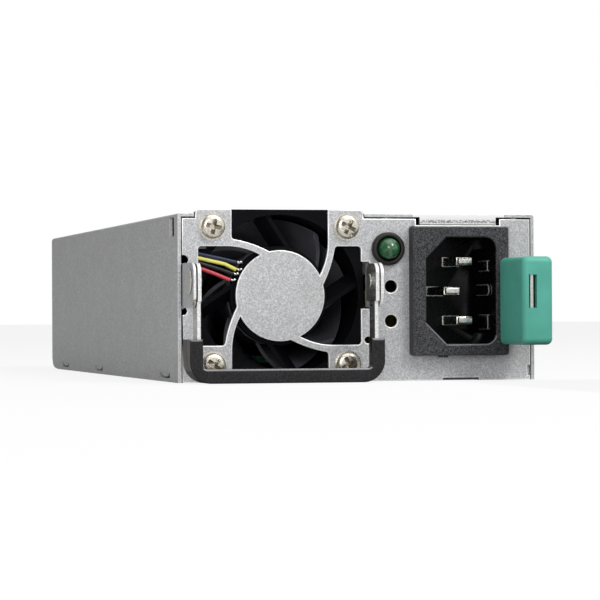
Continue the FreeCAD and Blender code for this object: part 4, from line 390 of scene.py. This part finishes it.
# Nylon rubbed by the leads: a greyer and shinier patch.
RUBBED_PLASTIC = moulded("rubbed_nylon", "#3E3E42", "#5A5A5E", 0.3, 0.3 * MM, 0.01 * MM, 0.4)
# Painted highlight on moulded edges: a pale line round a dark piece.
EDGE_PAINTED_HIGHLIGHT = moulded("edge_painted_highlight_nylon", "#6E6E71", "#8E8E90", 0.25, 0.3 * MM, 0.01 * MM)


def dress():
    """Give every CAD node the finish that its record slot names."""
    for name, node in frame["nodes"].items():
        node.material_slots[0].material = FINISHES[SLOT_OF[name]]


# ---------------------------------------------------------------- making pieces
def placed(name, mesh, *materials):
    """An object made from a bmesh, which it uses up, with its materials."""
    data = bpy.data.meshes.new(name)
    mesh.to_mesh(data)
    mesh.free()
    for material in materials:
        data.materials.append(material)
    made = bpy.data.objects.new(name, data)
    bpy.context.scene.collection.objects.link(made)
    return made


def smoothed(made):
    """Shade an object's faces as one smooth skin."""
    for face in made.data.polygons:
        face.use_smooth = True


def piece(name, mesh, node, *materials):
    """A finished piece from a bmesh, on the same body as the node that it stands for."""
    made = placed(name, mesh, *(materials or [FINISHES[SLOT_OF[node]]]))
    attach(made, BODY_OF[node])
    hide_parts(node)
    smoothed(made)
    made.data.set_sharp_from_angle(angle=SHARP)
    made.modifiers.new("flats_stay_flat", "WEIGHTED_NORMAL").keep_sharp = True


def copied(node):
    """A CAD node's surface as a clean mesh of large faces."""
    mesh = bmesh.new()
    mesh.from_mesh(frame["nodes"][node].data)
    bmesh.ops.remove_doubles(mesh, verts=mesh.verts, dist=WELD)
    bmesh.ops.dissolve_limit(mesh, angle_limit=math.radians(0.5), verts=mesh.verts,
                             edges=mesh.edges)
    return mesh


def sliced(mesh, spot, normal):
    """Cut a mesh's faces along a plane and keep both sides."""
    bmesh.ops.bisect_plane(mesh, geom=mesh.verts[:] + mesh.edges[:] + mesh.faces[:],
                           dist=WELD / 2, plane_co=spot, plane_no=normal)


def anywhere(spot):
    """Any spot at all."""
    return True


def ease(mesh, width, segments=2, where=anywhere):
    """Round the sharp edges of a mesh whose ends lie where the test says; give the new faces."""
    edges = [e for e in mesh.edges if len(e.link_faces) == 2
             and e.calc_face_angle(0.0) > SHARP and all(where(v.co) for v in e.verts)]
    return bmesh.ops.bevel(mesh, geom=edges, offset=width, offset_type="OFFSET",
                           segments=segments, profile=0.5, affect="EDGES", clamp_overlap=True,
                           material=-1)["faces"]


def rim(mesh, width, depth, is_flat):
    """Roll back the outline of the flat faces that face forward and meet the test."""
    widest = 2.5 * width
    mesh.normal_update()
    flats = [f for f in mesh.faces if f.normal.y < -0.99 and is_flat(f.calc_center_median())]
    rolled = bmesh.ops.inset_region(mesh, faces=flats, thickness=width, use_boundary=True,
                                    use_even_offset=True)["faces"]
    kept = {vert for face in flats for vert in face.verts}
    # At a very sharp corner the inset runs too far, so it is drawn back to the rim's width.
    for edge in {edge for face in rolled for edge in face.edges}:
        outer, inner = sorted(edge.verts, key=lambda vert: vert in kept)
        gap = inner.co - outer.co
        if inner in kept and outer not in kept and gap.length > widest:
            inner.co = outer.co + gap.normalized() * width
    for vert in {vert for face in rolled for vert in face.verts} - kept:
        vert.co.y += depth


def paint(mesh, *tests):
    """Number the faces by the last test that each one meets, the first test being 1."""
    mesh.normal_update()
    for face in mesh.faces:
        for number, test in enumerate(tests, start=1):
            if test(face.calc_center_median(), face.normal):
                face.material_index = number


def eased(node, width):
    """A CAD node with its sharp edges rounded."""
    mesh = copied(node)
    ease(mesh, width)
    piece(f"{node}_eased", mesh, node)


def carved(mesh, tool):
    """A mesh less the tool's volume; both are used up."""
    body = placed("carved", mesh)
    cutter = placed("carving_tool", tool)
    cutting = body.modifiers.new("cutting", "BOOLEAN")
    cutting.object = cutter
    cutting.operation = "DIFFERENCE"
    cutting.solver = "EXACT"
    cutting.use_self = True
    bpy.context.view_layer.update()
    result = bmesh.new()
    result.from_mesh(body.evaluated_get(bpy.context.evaluated_depsgraph_get()).to_mesh())
    for item in (body, cutter):
        bpy.data.objects.remove(item)
    return result


def turned(profile, axis_spot):
    """A closed solid turned about an axis along Y from (radius, Y) points, first to last."""
    mesh = bmesh.new()
    points = [mesh.verts.new((radius, y, 0.0)) for radius, y in profile]
    edges = [mesh.edges.new(pair) for pair in zip(points, points[1:])]
    bmesh.ops.spin(mesh, geom=points + edges, cent=(0, 0, 0), axis=(0, 1, 0),
                   angle=math.tau, steps=TURN_STEPS, use_merge=True)
    bmesh.ops.remove_doubles(mesh, verts=mesh.verts, dist=WELD / 2)
    bmesh.ops.recalc_face_normals(mesh, faces=mesh.faces)
    bmesh.ops.translate(mesh, verts=mesh.verts, vec=axis_spot)
    return mesh


def turn_about_y(mesh, verts, degrees):
    """Turn some of a mesh's corners about the Y axis."""
    bmesh.ops.rotate(mesh, verts=verts, matrix=Matrix.Rotation(math.radians(degrees), 3, "Y"))


def block(mesh, low, high):
    """A box between two corners, added to a mesh; gives its vertices."""
    made = bmesh.ops.create_cube(mesh, size=1.0)["verts"]
    size = Vector(high) - Vector(low)
    bmesh.ops.scale(mesh, verts=made, vec=size)
    bmesh.ops.translate(mesh, verts=made, vec=(Vector(low) + Vector(high)) / 2)
    return made


# ---------------------------------------------------------------- sheet metal
def swept_foot(mesh):
    """Sweep the lower rear edge of a sheet up in a long low curve that dies out above it."""
    length = 13 * MM
    rise = 2.0 * MM
    reach = 5.0 * MM
    start = REAR - length
    for share in (0.0, 0.3, 0.5, 0.66, 0.78, 0.87, 0.94):
        sliced(mesh, (0, start + share * length, 0), (0, 1, 0))
    for vert in mesh.verts:
        along = min(1.0, (vert.co.y - start) / length)
        if along > 0 and vert.co.z < reach:
            vert.co.z += rise * (1 - math.sqrt(1 - along ** 2)) * (1 - vert.co.z / reach)


def lances(mesh):
    """Tongues bent inward from the upper edge of the slots low on both sides."""
    half_tongue = 0.3 * MM
    tip = 1.2 * MM
    root = 2.42 * MM
    taper = 0.35
    lean = 0.22 * MM
    for start in (FRONT + 10.2 * MM, 6.75 * MM, REAR - 32.4 * MM):
        middle = start + 6.75 * MM
        for side in (-1, 1):
            wall = side * (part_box("top_cover")[1].x - SHEET / 2)
            tongue = block(mesh, (wall - half_tongue, start + 0.3 * MM, tip),
                           (wall + half_tongue, start + 13.2 * MM, root))
            for vert in tongue:
                if vert.co.z < (tip + root) / 2:
                    vert.co.y = middle + (vert.co.y - middle) * taper
                    vert.co.x -= side * lean


def panel_face(spot):
    """The front face of the panel."""
    return abs(spot.y - FRONT) < HAIR


def panel_is_cut(middle, normal):
    """Walls of the panel's openings and outline, and the front edges of its ears."""
    in_sheet = FRONT - 0.05 * MM < middle.y < FRONT + SHEET + 0.05 * MM
    ahead = middle.y < FRONT - 1 * MM
    return (in_sheet and abs(normal.y) < 0.97) or (ahead and abs(normal.x) < 0.8)


def ear_scrape(middle, normal):
    """The lower front corner of the left ear, scraped in folding."""
    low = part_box("handle_rivets")[0]
    near_corner = middle.z < low.z - 1.0 * MM and middle.y < low.y + 2.0 * MM
    return near_corner and middle.x < low.x + 3 * MM and middle.y < FRONT - 5 * MM


def front_panel():
    """Panel drawn in a little from the cover, with edges round every opening painted near white,
    partly a painted glint.
    """
    clearance = 0.15 * MM
    side_gap = 0.12 * MM
    top_gap = 0.22 * MM
    mesh = copied("front_panel")
    low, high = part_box("front_panel")
    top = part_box("top_cover")[1].z - SHEET - clearance
    for vert in mesh.verts:
        if vert.co.x < low.x + HAIR:
            vert.co.x += side_gap
        if vert.co.x > high.x - HAIR:
            vert.co.x -= side_gap
        if abs(vert.co.z - top) < HAIR:
            vert.co.z -= top_gap
    rim(mesh, width=0.24 * MM, depth=0.14 * MM, is_flat=panel_face)
    ease(mesh, 0.12 * MM, where=lambda spot: spot.y < FRONT - 1 * MM)
    paint(mesh, panel_is_cut, ear_scrape)
    piece("front_panel_stamped", mesh, "front_panel", FINISHES["galvanised_steel"], CUT_EDGE_PAINTED_GLINT,
          SCRAPED_FOLD)


def cover_is_cut(middle, normal):
    """The rounded rims of the cover's front edge, and the openings' walls that face forward."""
    at_front = middle.y < FRONT + SHEET / 2 and 0.15 < abs(normal.y) < 0.97
    return at_front or (normal.y < -0.5 and FRONT + SHEET < middle.y < FRONT + 12 * MM)


def tab_face(middle, normal):
    """The front of the tab over the inlet."""
    low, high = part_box("inlet_housing")
    over_inlet = low.x + 1 * MM < middle.x < high.x
    return normal.y < -0.3 and middle.y < FRONT + SHEET / 2 and over_inlet


def top_cover():
    """Cover with rounded front edges, lanced sides and a swept rear foot."""
    mesh = copied("top_cover")
    low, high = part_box("inlet_housing")
    under_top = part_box("top_cover")[1].z - SHEET
    sliced(mesh, (low.x + 1 * MM, 0, 0), (1, 0, 0))
    sliced(mesh, (high.x, 0, 0), (1, 0, 0))
    sliced(mesh, (0, 0, under_top), (0, 0, 1))
    ease(mesh, 0.16 * MM, where=lambda spot: spot.y < FRONT + HAIR)
    swept_foot(mesh)
    lances(mesh)
    # Cut rims get a painted glint, and the tab a painted highlight.
    paint(mesh, cover_is_cut, tab_face)
    piece("top_cover_stamped", mesh, "top_cover", FINISHES["galvanised_steel"], CUT_EDGE_PAINTED_GLINT,
          TAB_FACE)


def strap_is_cut(middle, normal):
    """The narrow edges of the handle's steel strap."""
    return abs(normal.x) < 0.8


def handle_strap():
    """Strap of the handle with sheared edges painted near white, partly a painted glint."""
    mesh = copied("handle_bail")
    ease(mesh, 0.14 * MM)
    paint(mesh, strap_is_cut)
    piece("handle_bail_stamped", mesh, "handle_bail", FINISHES["bright_steel"], CUT_EDGE_PAINTED_GLINT)


def case_sheets():
    """The floor and the rear panel, swept up with the cover's foot."""
    for node in ("base_tray", "rear_panel"):
        mesh = copied(node)
        swept_foot(mesh)
        piece(f"{node}_stamped", mesh, node)


# ---------------------------------------------------------------- handle grip
def grip():
    """Grip with a soft outer edge, a painted highlight on its inner upper edge, and drawn sides
    painted lighter as a sheen.
    """
    leg = 3.2 * MM
    mesh = copied("handle_grip")
    low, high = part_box("handle_grip")
    rim(mesh, width=0.4 * MM, depth=0.3 * MM, is_flat=lambda spot: spot.y < low.y + HAIR)

    def painted_highlight_top(middle, normal):
        """The rolled upper edge of the bar and of the legs' tops, given a painted highlight."""
        inside = low.x + leg < middle.x < high.x - leg
        rolled = 0.3 < normal.z < 0.98 and middle.y < low.y + 0.4 * MM
        return rolled and (inside or middle.z > high.z - 0.6 * MM)

    def drawn(middle, normal):
        """The flat outer sides of the legs."""
        return abs(normal.x) > 0.9 and not low.x + 1 * MM < middle.x < high.x - 1 * MM

    paint(mesh, painted_highlight_top, drawn)
    piece("handle_grip_moulded", mesh, "handle_grip", FINISHES["grip_plastic"], EDGE_PAINTED_HIGHLIGHT,
          GRIP_SIDE)


# ---------------------------------------------------------------- fan
def lead_clip(mesh):
    """Clip on the fan's frame over the leads; gives its faces."""
    low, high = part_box("fan_lead_blue")
    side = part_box("fan_frame")[0].x
    clip = block(mesh, (side + 0.3 * MM, low.y - 0.3 * MM, high.z + 0.25 * MM),
                 (side + 2.6 * MM, low.y + 1.2 * MM, high.z + 1.9 * MM))
    return {face for vert in clip for face in vert.link_faces}


def fan():
    """Fan frame and rotor with soft moulded edges, a painted highlight on the rotor's edges, and
    the clip over the leads.
    """
    edge = 0.18 * MM
    mesh = copied("fan_frame")
    ease(mesh, edge)
    for face in lead_clip(mesh):
        face.material_index = 1
    piece("fan_frame_moulded", mesh, "fan_frame", FINISHES["black_plastic"], RUBBED_PLASTIC)
    mesh = copied("fan_rotor")
    # The rotor's rounded edges get a pale painted highlight.
    for face in ease(mesh, edge, segments=1):
        face.material_index = 1
    piece("fan_rotor_moulded", mesh, "fan_rotor", FINISHES["fan_plastic"], EDGE_PAINTED_HIGHLIGHT)


def screw_head(radius, height, shank, length):
    """A washer head screw along Y, its seat at Y = 0, with a tapered cross recess."""
    brim = 1.12 * radius
    washer = 0.1 * MM
    mesh = turned([(0.0, -height), (radius * 0.6, -height * 0.96), (radius * 0.84, -height * 0.86),
                   (radius * 0.95, -height * 0.66), (radius, -height * 0.4),
                   (radius * 0.97, -washer), (brim, -washer), (brim, 0.0), (shank, 0.0),
                   (shank, length), (0.0, length)], (0, 0, 0))
    cutter = bmesh.new()
    for turn in (0.0, 90.0):
        wing = block(cutter, (-0.74 * radius, -height * 1.2, -0.19 * radius),
                     (0.74 * radius, height * 0.3, 0.19 * radius))
        for vert in wing:
            if vert.co.y > -height:
                vert.co.x *= 0.25
                vert.co.z *= 0.5
        turn_about_y(cutter, wing, turn)
    return carved(mesh, cutter)


def fan_screws():
    """Four screws with domed heads, each stopped at its own turn."""
    low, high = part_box("fan_screws")
    radius = SCREW_HEAD / 2
    shank = 1.45 * MM
    pattern = screw_head(radius, FRONT - low.y, shank, high.y - FRONT)
    single = bpy.data.meshes.new("screw")
    pattern.to_mesh(single)
    pattern.free()
    mesh = bmesh.new()
    spots = [(x, z) for x in (low.x + radius, high.x - radius)
             for z in (low.z + radius, high.z - radius)]
    for (x, z), turn in zip(spots, (38.0, 12.0, 61.0, 27.0)):
        before = set(mesh.verts)
        mesh.from_mesh(single)
        fresh = [vert for vert in mesh.verts if vert not in before]
        turn_about_y(mesh, fresh, turn)
        bmesh.ops.translate(mesh, verts=fresh, vec=(x, FRONT, z))
    piece("fan_screws_domed", mesh, "fan_screws")


def lead_tip(name):
    """Middle of the end of a lead by the fan's board, and how far forward it reaches."""
    points = [vert.co for vert in frame["nodes"][name].data.vertices]
    reach = max(point.x for point in points)
    ends = [point for point in points if point.x > reach - 0.5 * MM]
    return sum(ends, Vector()) / len(ends), min(point.y for point in ends)


def tinned_strands(mesh, tip, ahead, axis):
    """Three strands that fan out from a lead's tip towards the fan's axis."""
    lean = Vector((axis.x - tip.x, -0.25 * abs(axis.x - tip.x), axis.z - tip.z))
    way = lean.normalized().to_track_quat("Z", "Y").to_matrix()
    for turn, long in ((-18.0, 1.5 * MM), (12.0, 1.1 * MM), (40.0, 0.8 * MM)):
        strand = bmesh.ops.create_cone(mesh, segments=8, radius1=0.2 * MM, radius2=0.12 * MM,
                                       depth=long, cap_ends=True)["verts"]
        swing = Matrix.Rotation(math.radians(turn), 3, "Y")
        bmesh.ops.rotate(mesh, verts=strand, matrix=swing @ way)
        bmesh.ops.translate(mesh, verts=strand,
                            vec=(tip.x + long / 2, ahead + 0.25 * MM, tip.z))


def solder_bead(mesh, tip, ahead):
    """A flattened bead of solder on a lead's strands."""
    bead = bmesh.ops.create_icosphere(mesh, subdivisions=2, radius=0.36 * MM)["verts"]
    bmesh.ops.scale(mesh, verts=bead, vec=(1.2, 0.7, 0.9))
    bmesh.ops.translate(mesh, verts=bead,
                        vec=(tip.x + 1.1 * MM, ahead + 0.2 * MM, tip.z + 0.05 * MM))


def soldered_ends():
    """Stripped and tinned strands from the fan's leads to the edge of its board."""
    mesh = bmesh.new()
    low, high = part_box("fan_frame")
    axis = Vector(((low.x + high.x) / 2, 0, (low.z + high.z) / 2))
    for name in ("fan_lead_red", "fan_lead_black", "fan_lead_yellow", "fan_lead_blue"):
        tip, ahead = lead_tip(name)
        tinned_strands(mesh, tip, ahead, axis)
        solder_bead(mesh, tip, ahead)
    made = placed("soldered_ends", mesh, FINISHES["tin"])
    smoothed(made)
    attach(made, BODY_OF["fan_lead_red"])


# ---------------------------------------------------------------- lamp
def status_lamp():
    """Holder with a rounded flange and a dished seat, and the lamp's dome in it."""
    low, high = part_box("lamp_holder")
    centre = Vector(((low.x + high.x) / 2, 0, (low.z + high.z) / 2))
    flange = (high.x - low.x) / 2
    lens_low, lens_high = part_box("lamp_lens")
    lens = (lens_high.x - lens_low.x) / 2
    face = low.y
    back = high.y
    seat = lens + 0.05 * MM
    barrel = flange - 0.8 * MM
    mesh = turned([(seat, back), (seat, face + 0.9 * MM), (seat + 0.25 * MM, face + 0.5 * MM),
                   (seat + 0.3 * MM, face + 0.12 * MM), (seat + 0.42 * MM, face),
                   (flange - 0.55 * MM, face), (flange - 0.2 * MM, face + 0.12 * MM),
                   (flange, face + 0.5 * MM), (flange, FRONT), (barrel, FRONT),
                   (barrel, back), (seat, back)], centre)
    piece("lamp_holder_turned", mesh, "lamp_holder")
    foot = face + 0.35 * MM
    deep = foot - lens_low.y
    angles = [math.radians(degrees) for degrees in range(0, 91, 10)]
    dome = [(lens * math.sin(angle), foot - deep * math.cos(angle)) for angle in angles]
    mesh = turned(dome + [(lens, lens_high.y), (0.0, lens_high.y)], centre)
    piece("lamp_lens_domed", mesh, "lamp_lens")


# ---------------------------------------------------------------- mains inlet
def flat_ribs(mesh, wall, low, middle):
    """Two flat ribs on the right wall of the socket, above and below its middle."""
    for rise, tall in ((5.9 * MM, 2.6 * MM), (-7.4 * MM, 3.6 * MM)):
        block(mesh, (wall - 0.6 * MM, low.y + 5.0 * MM, middle + rise - tall / 2),
              (wall + 0.2 * MM, low.y + 12.3 * MM, middle + rise + tall / 2))


def round_rib(mesh, wall, low, middle):
    """A rounded rib on the right wall of the socket, between the flat ones."""
    rib = bmesh.ops.create_cone(mesh, segments=32, radius1=1.5 * MM, radius2=1.35 * MM,
                                depth=0.9 * MM, cap_ends=True)["verts"]
    turn_about_y(mesh, rib, -90)
    for vert in rib:
        if vert.co.y < 0:
            vert.co.y -= 8 * MM
    bmesh.ops.translate(mesh, verts=rib,
                        vec=(wall - 0.4 * MM, low.y + 12.6 * MM, middle + 0.2 * MM))


def socket_ribs():
    """Ribs on the right wall of the socket, with a painted highlight on their edges."""
    low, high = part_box("inlet_housing")
    wall = high.x - SOCKET_SIDE
    middle = (low.z + high.z) / 2
    mesh = bmesh.new()
    flat_ribs(mesh, wall, low, middle)
    round_rib(mesh, wall, low, middle)
    for face in ease(mesh, 0.2 * MM):
        face.material_index = 1
    made = placed("socket_ribs", mesh, SOCKET, EDGE_PAINTED_HIGHLIGHT)
    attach(made, BODY_OF["inlet_housing"])


def housing_clip(mesh):
    """A rounded clip under the housing, in front of the panel."""
    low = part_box("inlet_housing")[0]
    middle = low.x + 8.0 * MM
    half = 1.1 * MM
    clip = block(mesh, (middle - half, FRONT - 1.6 * MM, low.z - 0.45 * MM),
                 (middle + half, FRONT, low.z + 0.3 * MM))
    bmesh.ops.bevel(mesh, geom=[e for e in mesh.edges if e.verts[0] in clip], offset=0.3 * MM,
                    offset_type="OFFSET", segments=3, profile=0.5, affect="EDGES", material=-1)


def inlet_housing():
    """Housing with a textured bezel, a polished socket painted near black as shade, a painted
    highlight on the socket's lip and the bezel's top, and the clip under it.
    """
    mesh = copied("inlet_housing")
    low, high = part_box("inlet_housing")
    rim(mesh, width=0.35 * MM, depth=0.22 * MM, is_flat=lambda spot: spot.y < low.y + HAIR)

    def socket(middle, normal):
        """The walls and floor of the socket."""
        across = low.x + SOCKET_SIDE - HAIR < middle.x < high.x - SOCKET_SIDE + HAIR
        up = low.z + SOCKET_END - HAIR < middle.z < high.z - SOCKET_END + HAIR
        return across and up and low.y + 0.25 * MM < middle.y < low.y + 18 * MM

    def lip(middle, normal):
        """The rounded lip at the foot and the lower right of the socket, and the bezel's top,
        which get a painted highlight.
        """
        at_face = middle.y < low.y + 0.22 * MM and 0.2 < abs(normal.y) < 0.98
        inside = low.x + 1 * MM < middle.x < high.x - 1 * MM and middle.z < low.z + 5.5 * MM
        foot = inside and middle.z > low.z + 1 * MM and normal.z > 0.1
        return at_face and (foot or middle.z > high.z - 0.4 * MM)

    paint(mesh, socket, lip)
    housing_clip(mesh)
    piece("inlet_housing_moulded", mesh, "inlet_housing", FINISHES["inlet_plastic"], SOCKET,
          EDGE_PAINTED_HIGHLIGHT)


def pin_collar(mesh, pin, root):
    """A low collar round the root of one pin, whose corners are given."""
    margin = 0.12 * MM
    height = 0.7 * MM
    block(mesh, (min(c.x for c in pin) - margin, root - height, min(c.z for c in pin) - margin),
          (max(c.x for c in pin) + margin, root, max(c.z for c in pin) + margin))


def inlet_pins():
    """Pins of the inlet with coined tips, each with a collar round its root."""
    low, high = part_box("inlet_housing")
    middle = (low.z + high.z) / 2
    for node in ("inlet_power_pins", "inlet_earth_pin"):
        mesh = copied(node)
        showing = [vert.co.copy() for vert in mesh.verts if vert.co.y < low.y + 17 * MM]
        ease(mesh, 0.5 * MM)
        pins = [showing]
        if node == "inlet_power_pins":
            pins = [[c for c in showing if c.z <= middle], [c for c in showing if c.z > middle]]
        for pin in pins:
            pin_collar(mesh, pin, low.y + 17.6 * MM)
        piece(f"{node}_coined", mesh, node)


# ---------------------------------------------------------------- stage
def floor():
    """Pale floor that keeps the shadow under the case."""
    half_width = 6.0
    glow_share = 0.84
    mesh = bmesh.new()
    bmesh.ops.create_grid(mesh, x_segments=2, y_segments=2, size=half_width)
    material, tree, _ = blank("studio_floor")
    seen = add(tree, "ShaderNodeLightPath").outputs["Is Camera Ray"]
    matt = add(tree, "ShaderNodeBsdfDiffuse", {"Color": colour("#F4F4F4")})
    glow = add(tree, "ShaderNodeEmission", {"Color": colour("#FFFFFF"), "Strength": 1.0})
    share = add(tree, "ShaderNodeMath", {0: seen, 1: glow_share}, operation="MULTIPLY")
    mixed = add(tree, "ShaderNodeMixShader", {0: share.outputs[0], 1: matt.outputs[0],
                                              2: glow.outputs[0]})
    add(tree, "ShaderNodeOutputMaterial", {"Surface": mixed.outputs[0]})
    made = placed("floor", mesh, material)
    made.location.z = cad_box[0].z - 0.05 * MM


def world():
    """White surround, seen as it is and in reflections, and dimmer as a source of light."""
    daylight = 0.42
    made = bpy.data.worlds.new("studio")
    bpy.context.scene.world = made
    made.use_nodes = True
    tree = made.node_tree
    tree.nodes.clear()
    path = add(tree, "ShaderNodeLightPath")
    seen = add(tree, "ShaderNodeMath", {0: path.outputs["Is Camera Ray"],
                                        1: path.outputs["Is Glossy Ray"]}, operation="MAXIMUM")
    seen = add(tree, "ShaderNodeMath", {0: seen.outputs[0],
                                        1: path.outputs["Is Transmission Ray"]},
               operation="MAXIMUM")
    dim = add(tree, "ShaderNodeBackground", {"Color": colour("#FFFFFF"), "Strength": daylight})
    white = add(tree, "ShaderNodeBackground", {"Color": colour("#FFFFFF"), "Strength": 1.0})
    mixed = add(tree, "ShaderNodeMixShader", {0: seen.outputs[0], 1: dim.outputs[0],
                                              2: white.outputs[0]})
    add(tree, "ShaderNodeOutputWorld", {"Surface": mixed.outputs[0]})


def soft_light(name, place, target, width, watts):
    """A square soft light that faces a target."""
    data = bpy.data.lights.new(name, "AREA")
    data.shape = "SQUARE"
    data.size = width
    data.energy = watts
    made = bpy.data.objects.new(name, data)
    bpy.context.scene.collection.objects.link(made)
    made.location = place
    made.rotation_mode = "QUATERNION"
    made.rotation_quaternion = (Vector(target) - Vector(place)).to_track_quat("-Z", "Y")


def grey_card(name, low, high, tone):
    """A grey card that shades one side of the object, and isn't seen itself."""
    mesh = bmesh.new()
    block(mesh, low, high)
    material, tree, _ = blank(f"{name}_paper")
    shade = add(tree, "ShaderNodeEmission", {"Color": colour(tone), "Strength": 1.0})
    add(tree, "ShaderNodeOutputMaterial", {"Surface": shade.outputs[0]})
    made = placed(name, mesh, material)
    made.visible_camera = False
    made.visible_shadow = False


def camera():
    """Level camera a little left of the front, with a long lens."""
    spot = (-0.16107, -0.70521, 0.01499)
    turn = Matrix.Rotation(math.radians(-13.624), 4, "Z")
    tilt = Matrix.Rotation(math.radians(90.368), 4, "X")
    roll = Matrix.Rotation(math.radians(-0.288), 4, "Z")
    data = bpy.data.cameras.new("camera")
    data.lens = 161.21
    data.sensor_width = 36.0
    data.clip_start = 0.01
    data.clip_end = 50.0
    made = bpy.data.objects.new("camera", data)
    bpy.context.scene.collection.objects.link(made)
    made.matrix_world = Matrix.Translation(spot) @ turn @ tilt @ roll
    bpy.context.scene.camera = made


# ---------------------------------------------------------------- build
FRONT_AIM = (0.0, -0.1, 0.02)
camera()
floor()
world()
soft_light("key_light", (0.45, -0.8, 0.95), FRONT_AIM, width=0.7, watts=4.6)
soft_light("strip_light", (0.33, -0.69, 0.63), FRONT_AIM, width=0.16, watts=1.6)
soft_light("top_light", (0.0, -0.2, 1.0), (0.0, 0.0, 0.0), width=0.8, watts=2.0)
soft_light("fill_light", (-0.45, -1.0, 0.3), FRONT_AIM, width=0.4, watts=2.4)
grey_card("left_card", (-0.62, -0.9, 0.0), (-0.6, 1.6, 0.9), "#7A7A77")
grey_card("rear_card", (-2.4, 1.8, 0.0), (-0.34, 1.82, 1.2), "#BABAB6")
grey_card("dark_card", (-0.34, 1.7, 0.0), (-0.05, 1.72, 1.2), "#84847F")
grey_card("floor_card", (0.02, -0.24, -0.001), (0.13, -0.105, 0.0), "#5A554F")
dress()
top_cover()
front_panel()
case_sheets()
handle_strap()
grip()
fan()
fan_screws()
soldered_ends()
status_lamp()
inlet_housing()
socket_ribs()
inlet_pins()
eased("handle_rivets", 0.1 * MM)
eased("latch_spring", 0.08 * MM)

bpy.context.scene.view_settings.view_transform = "Standard"
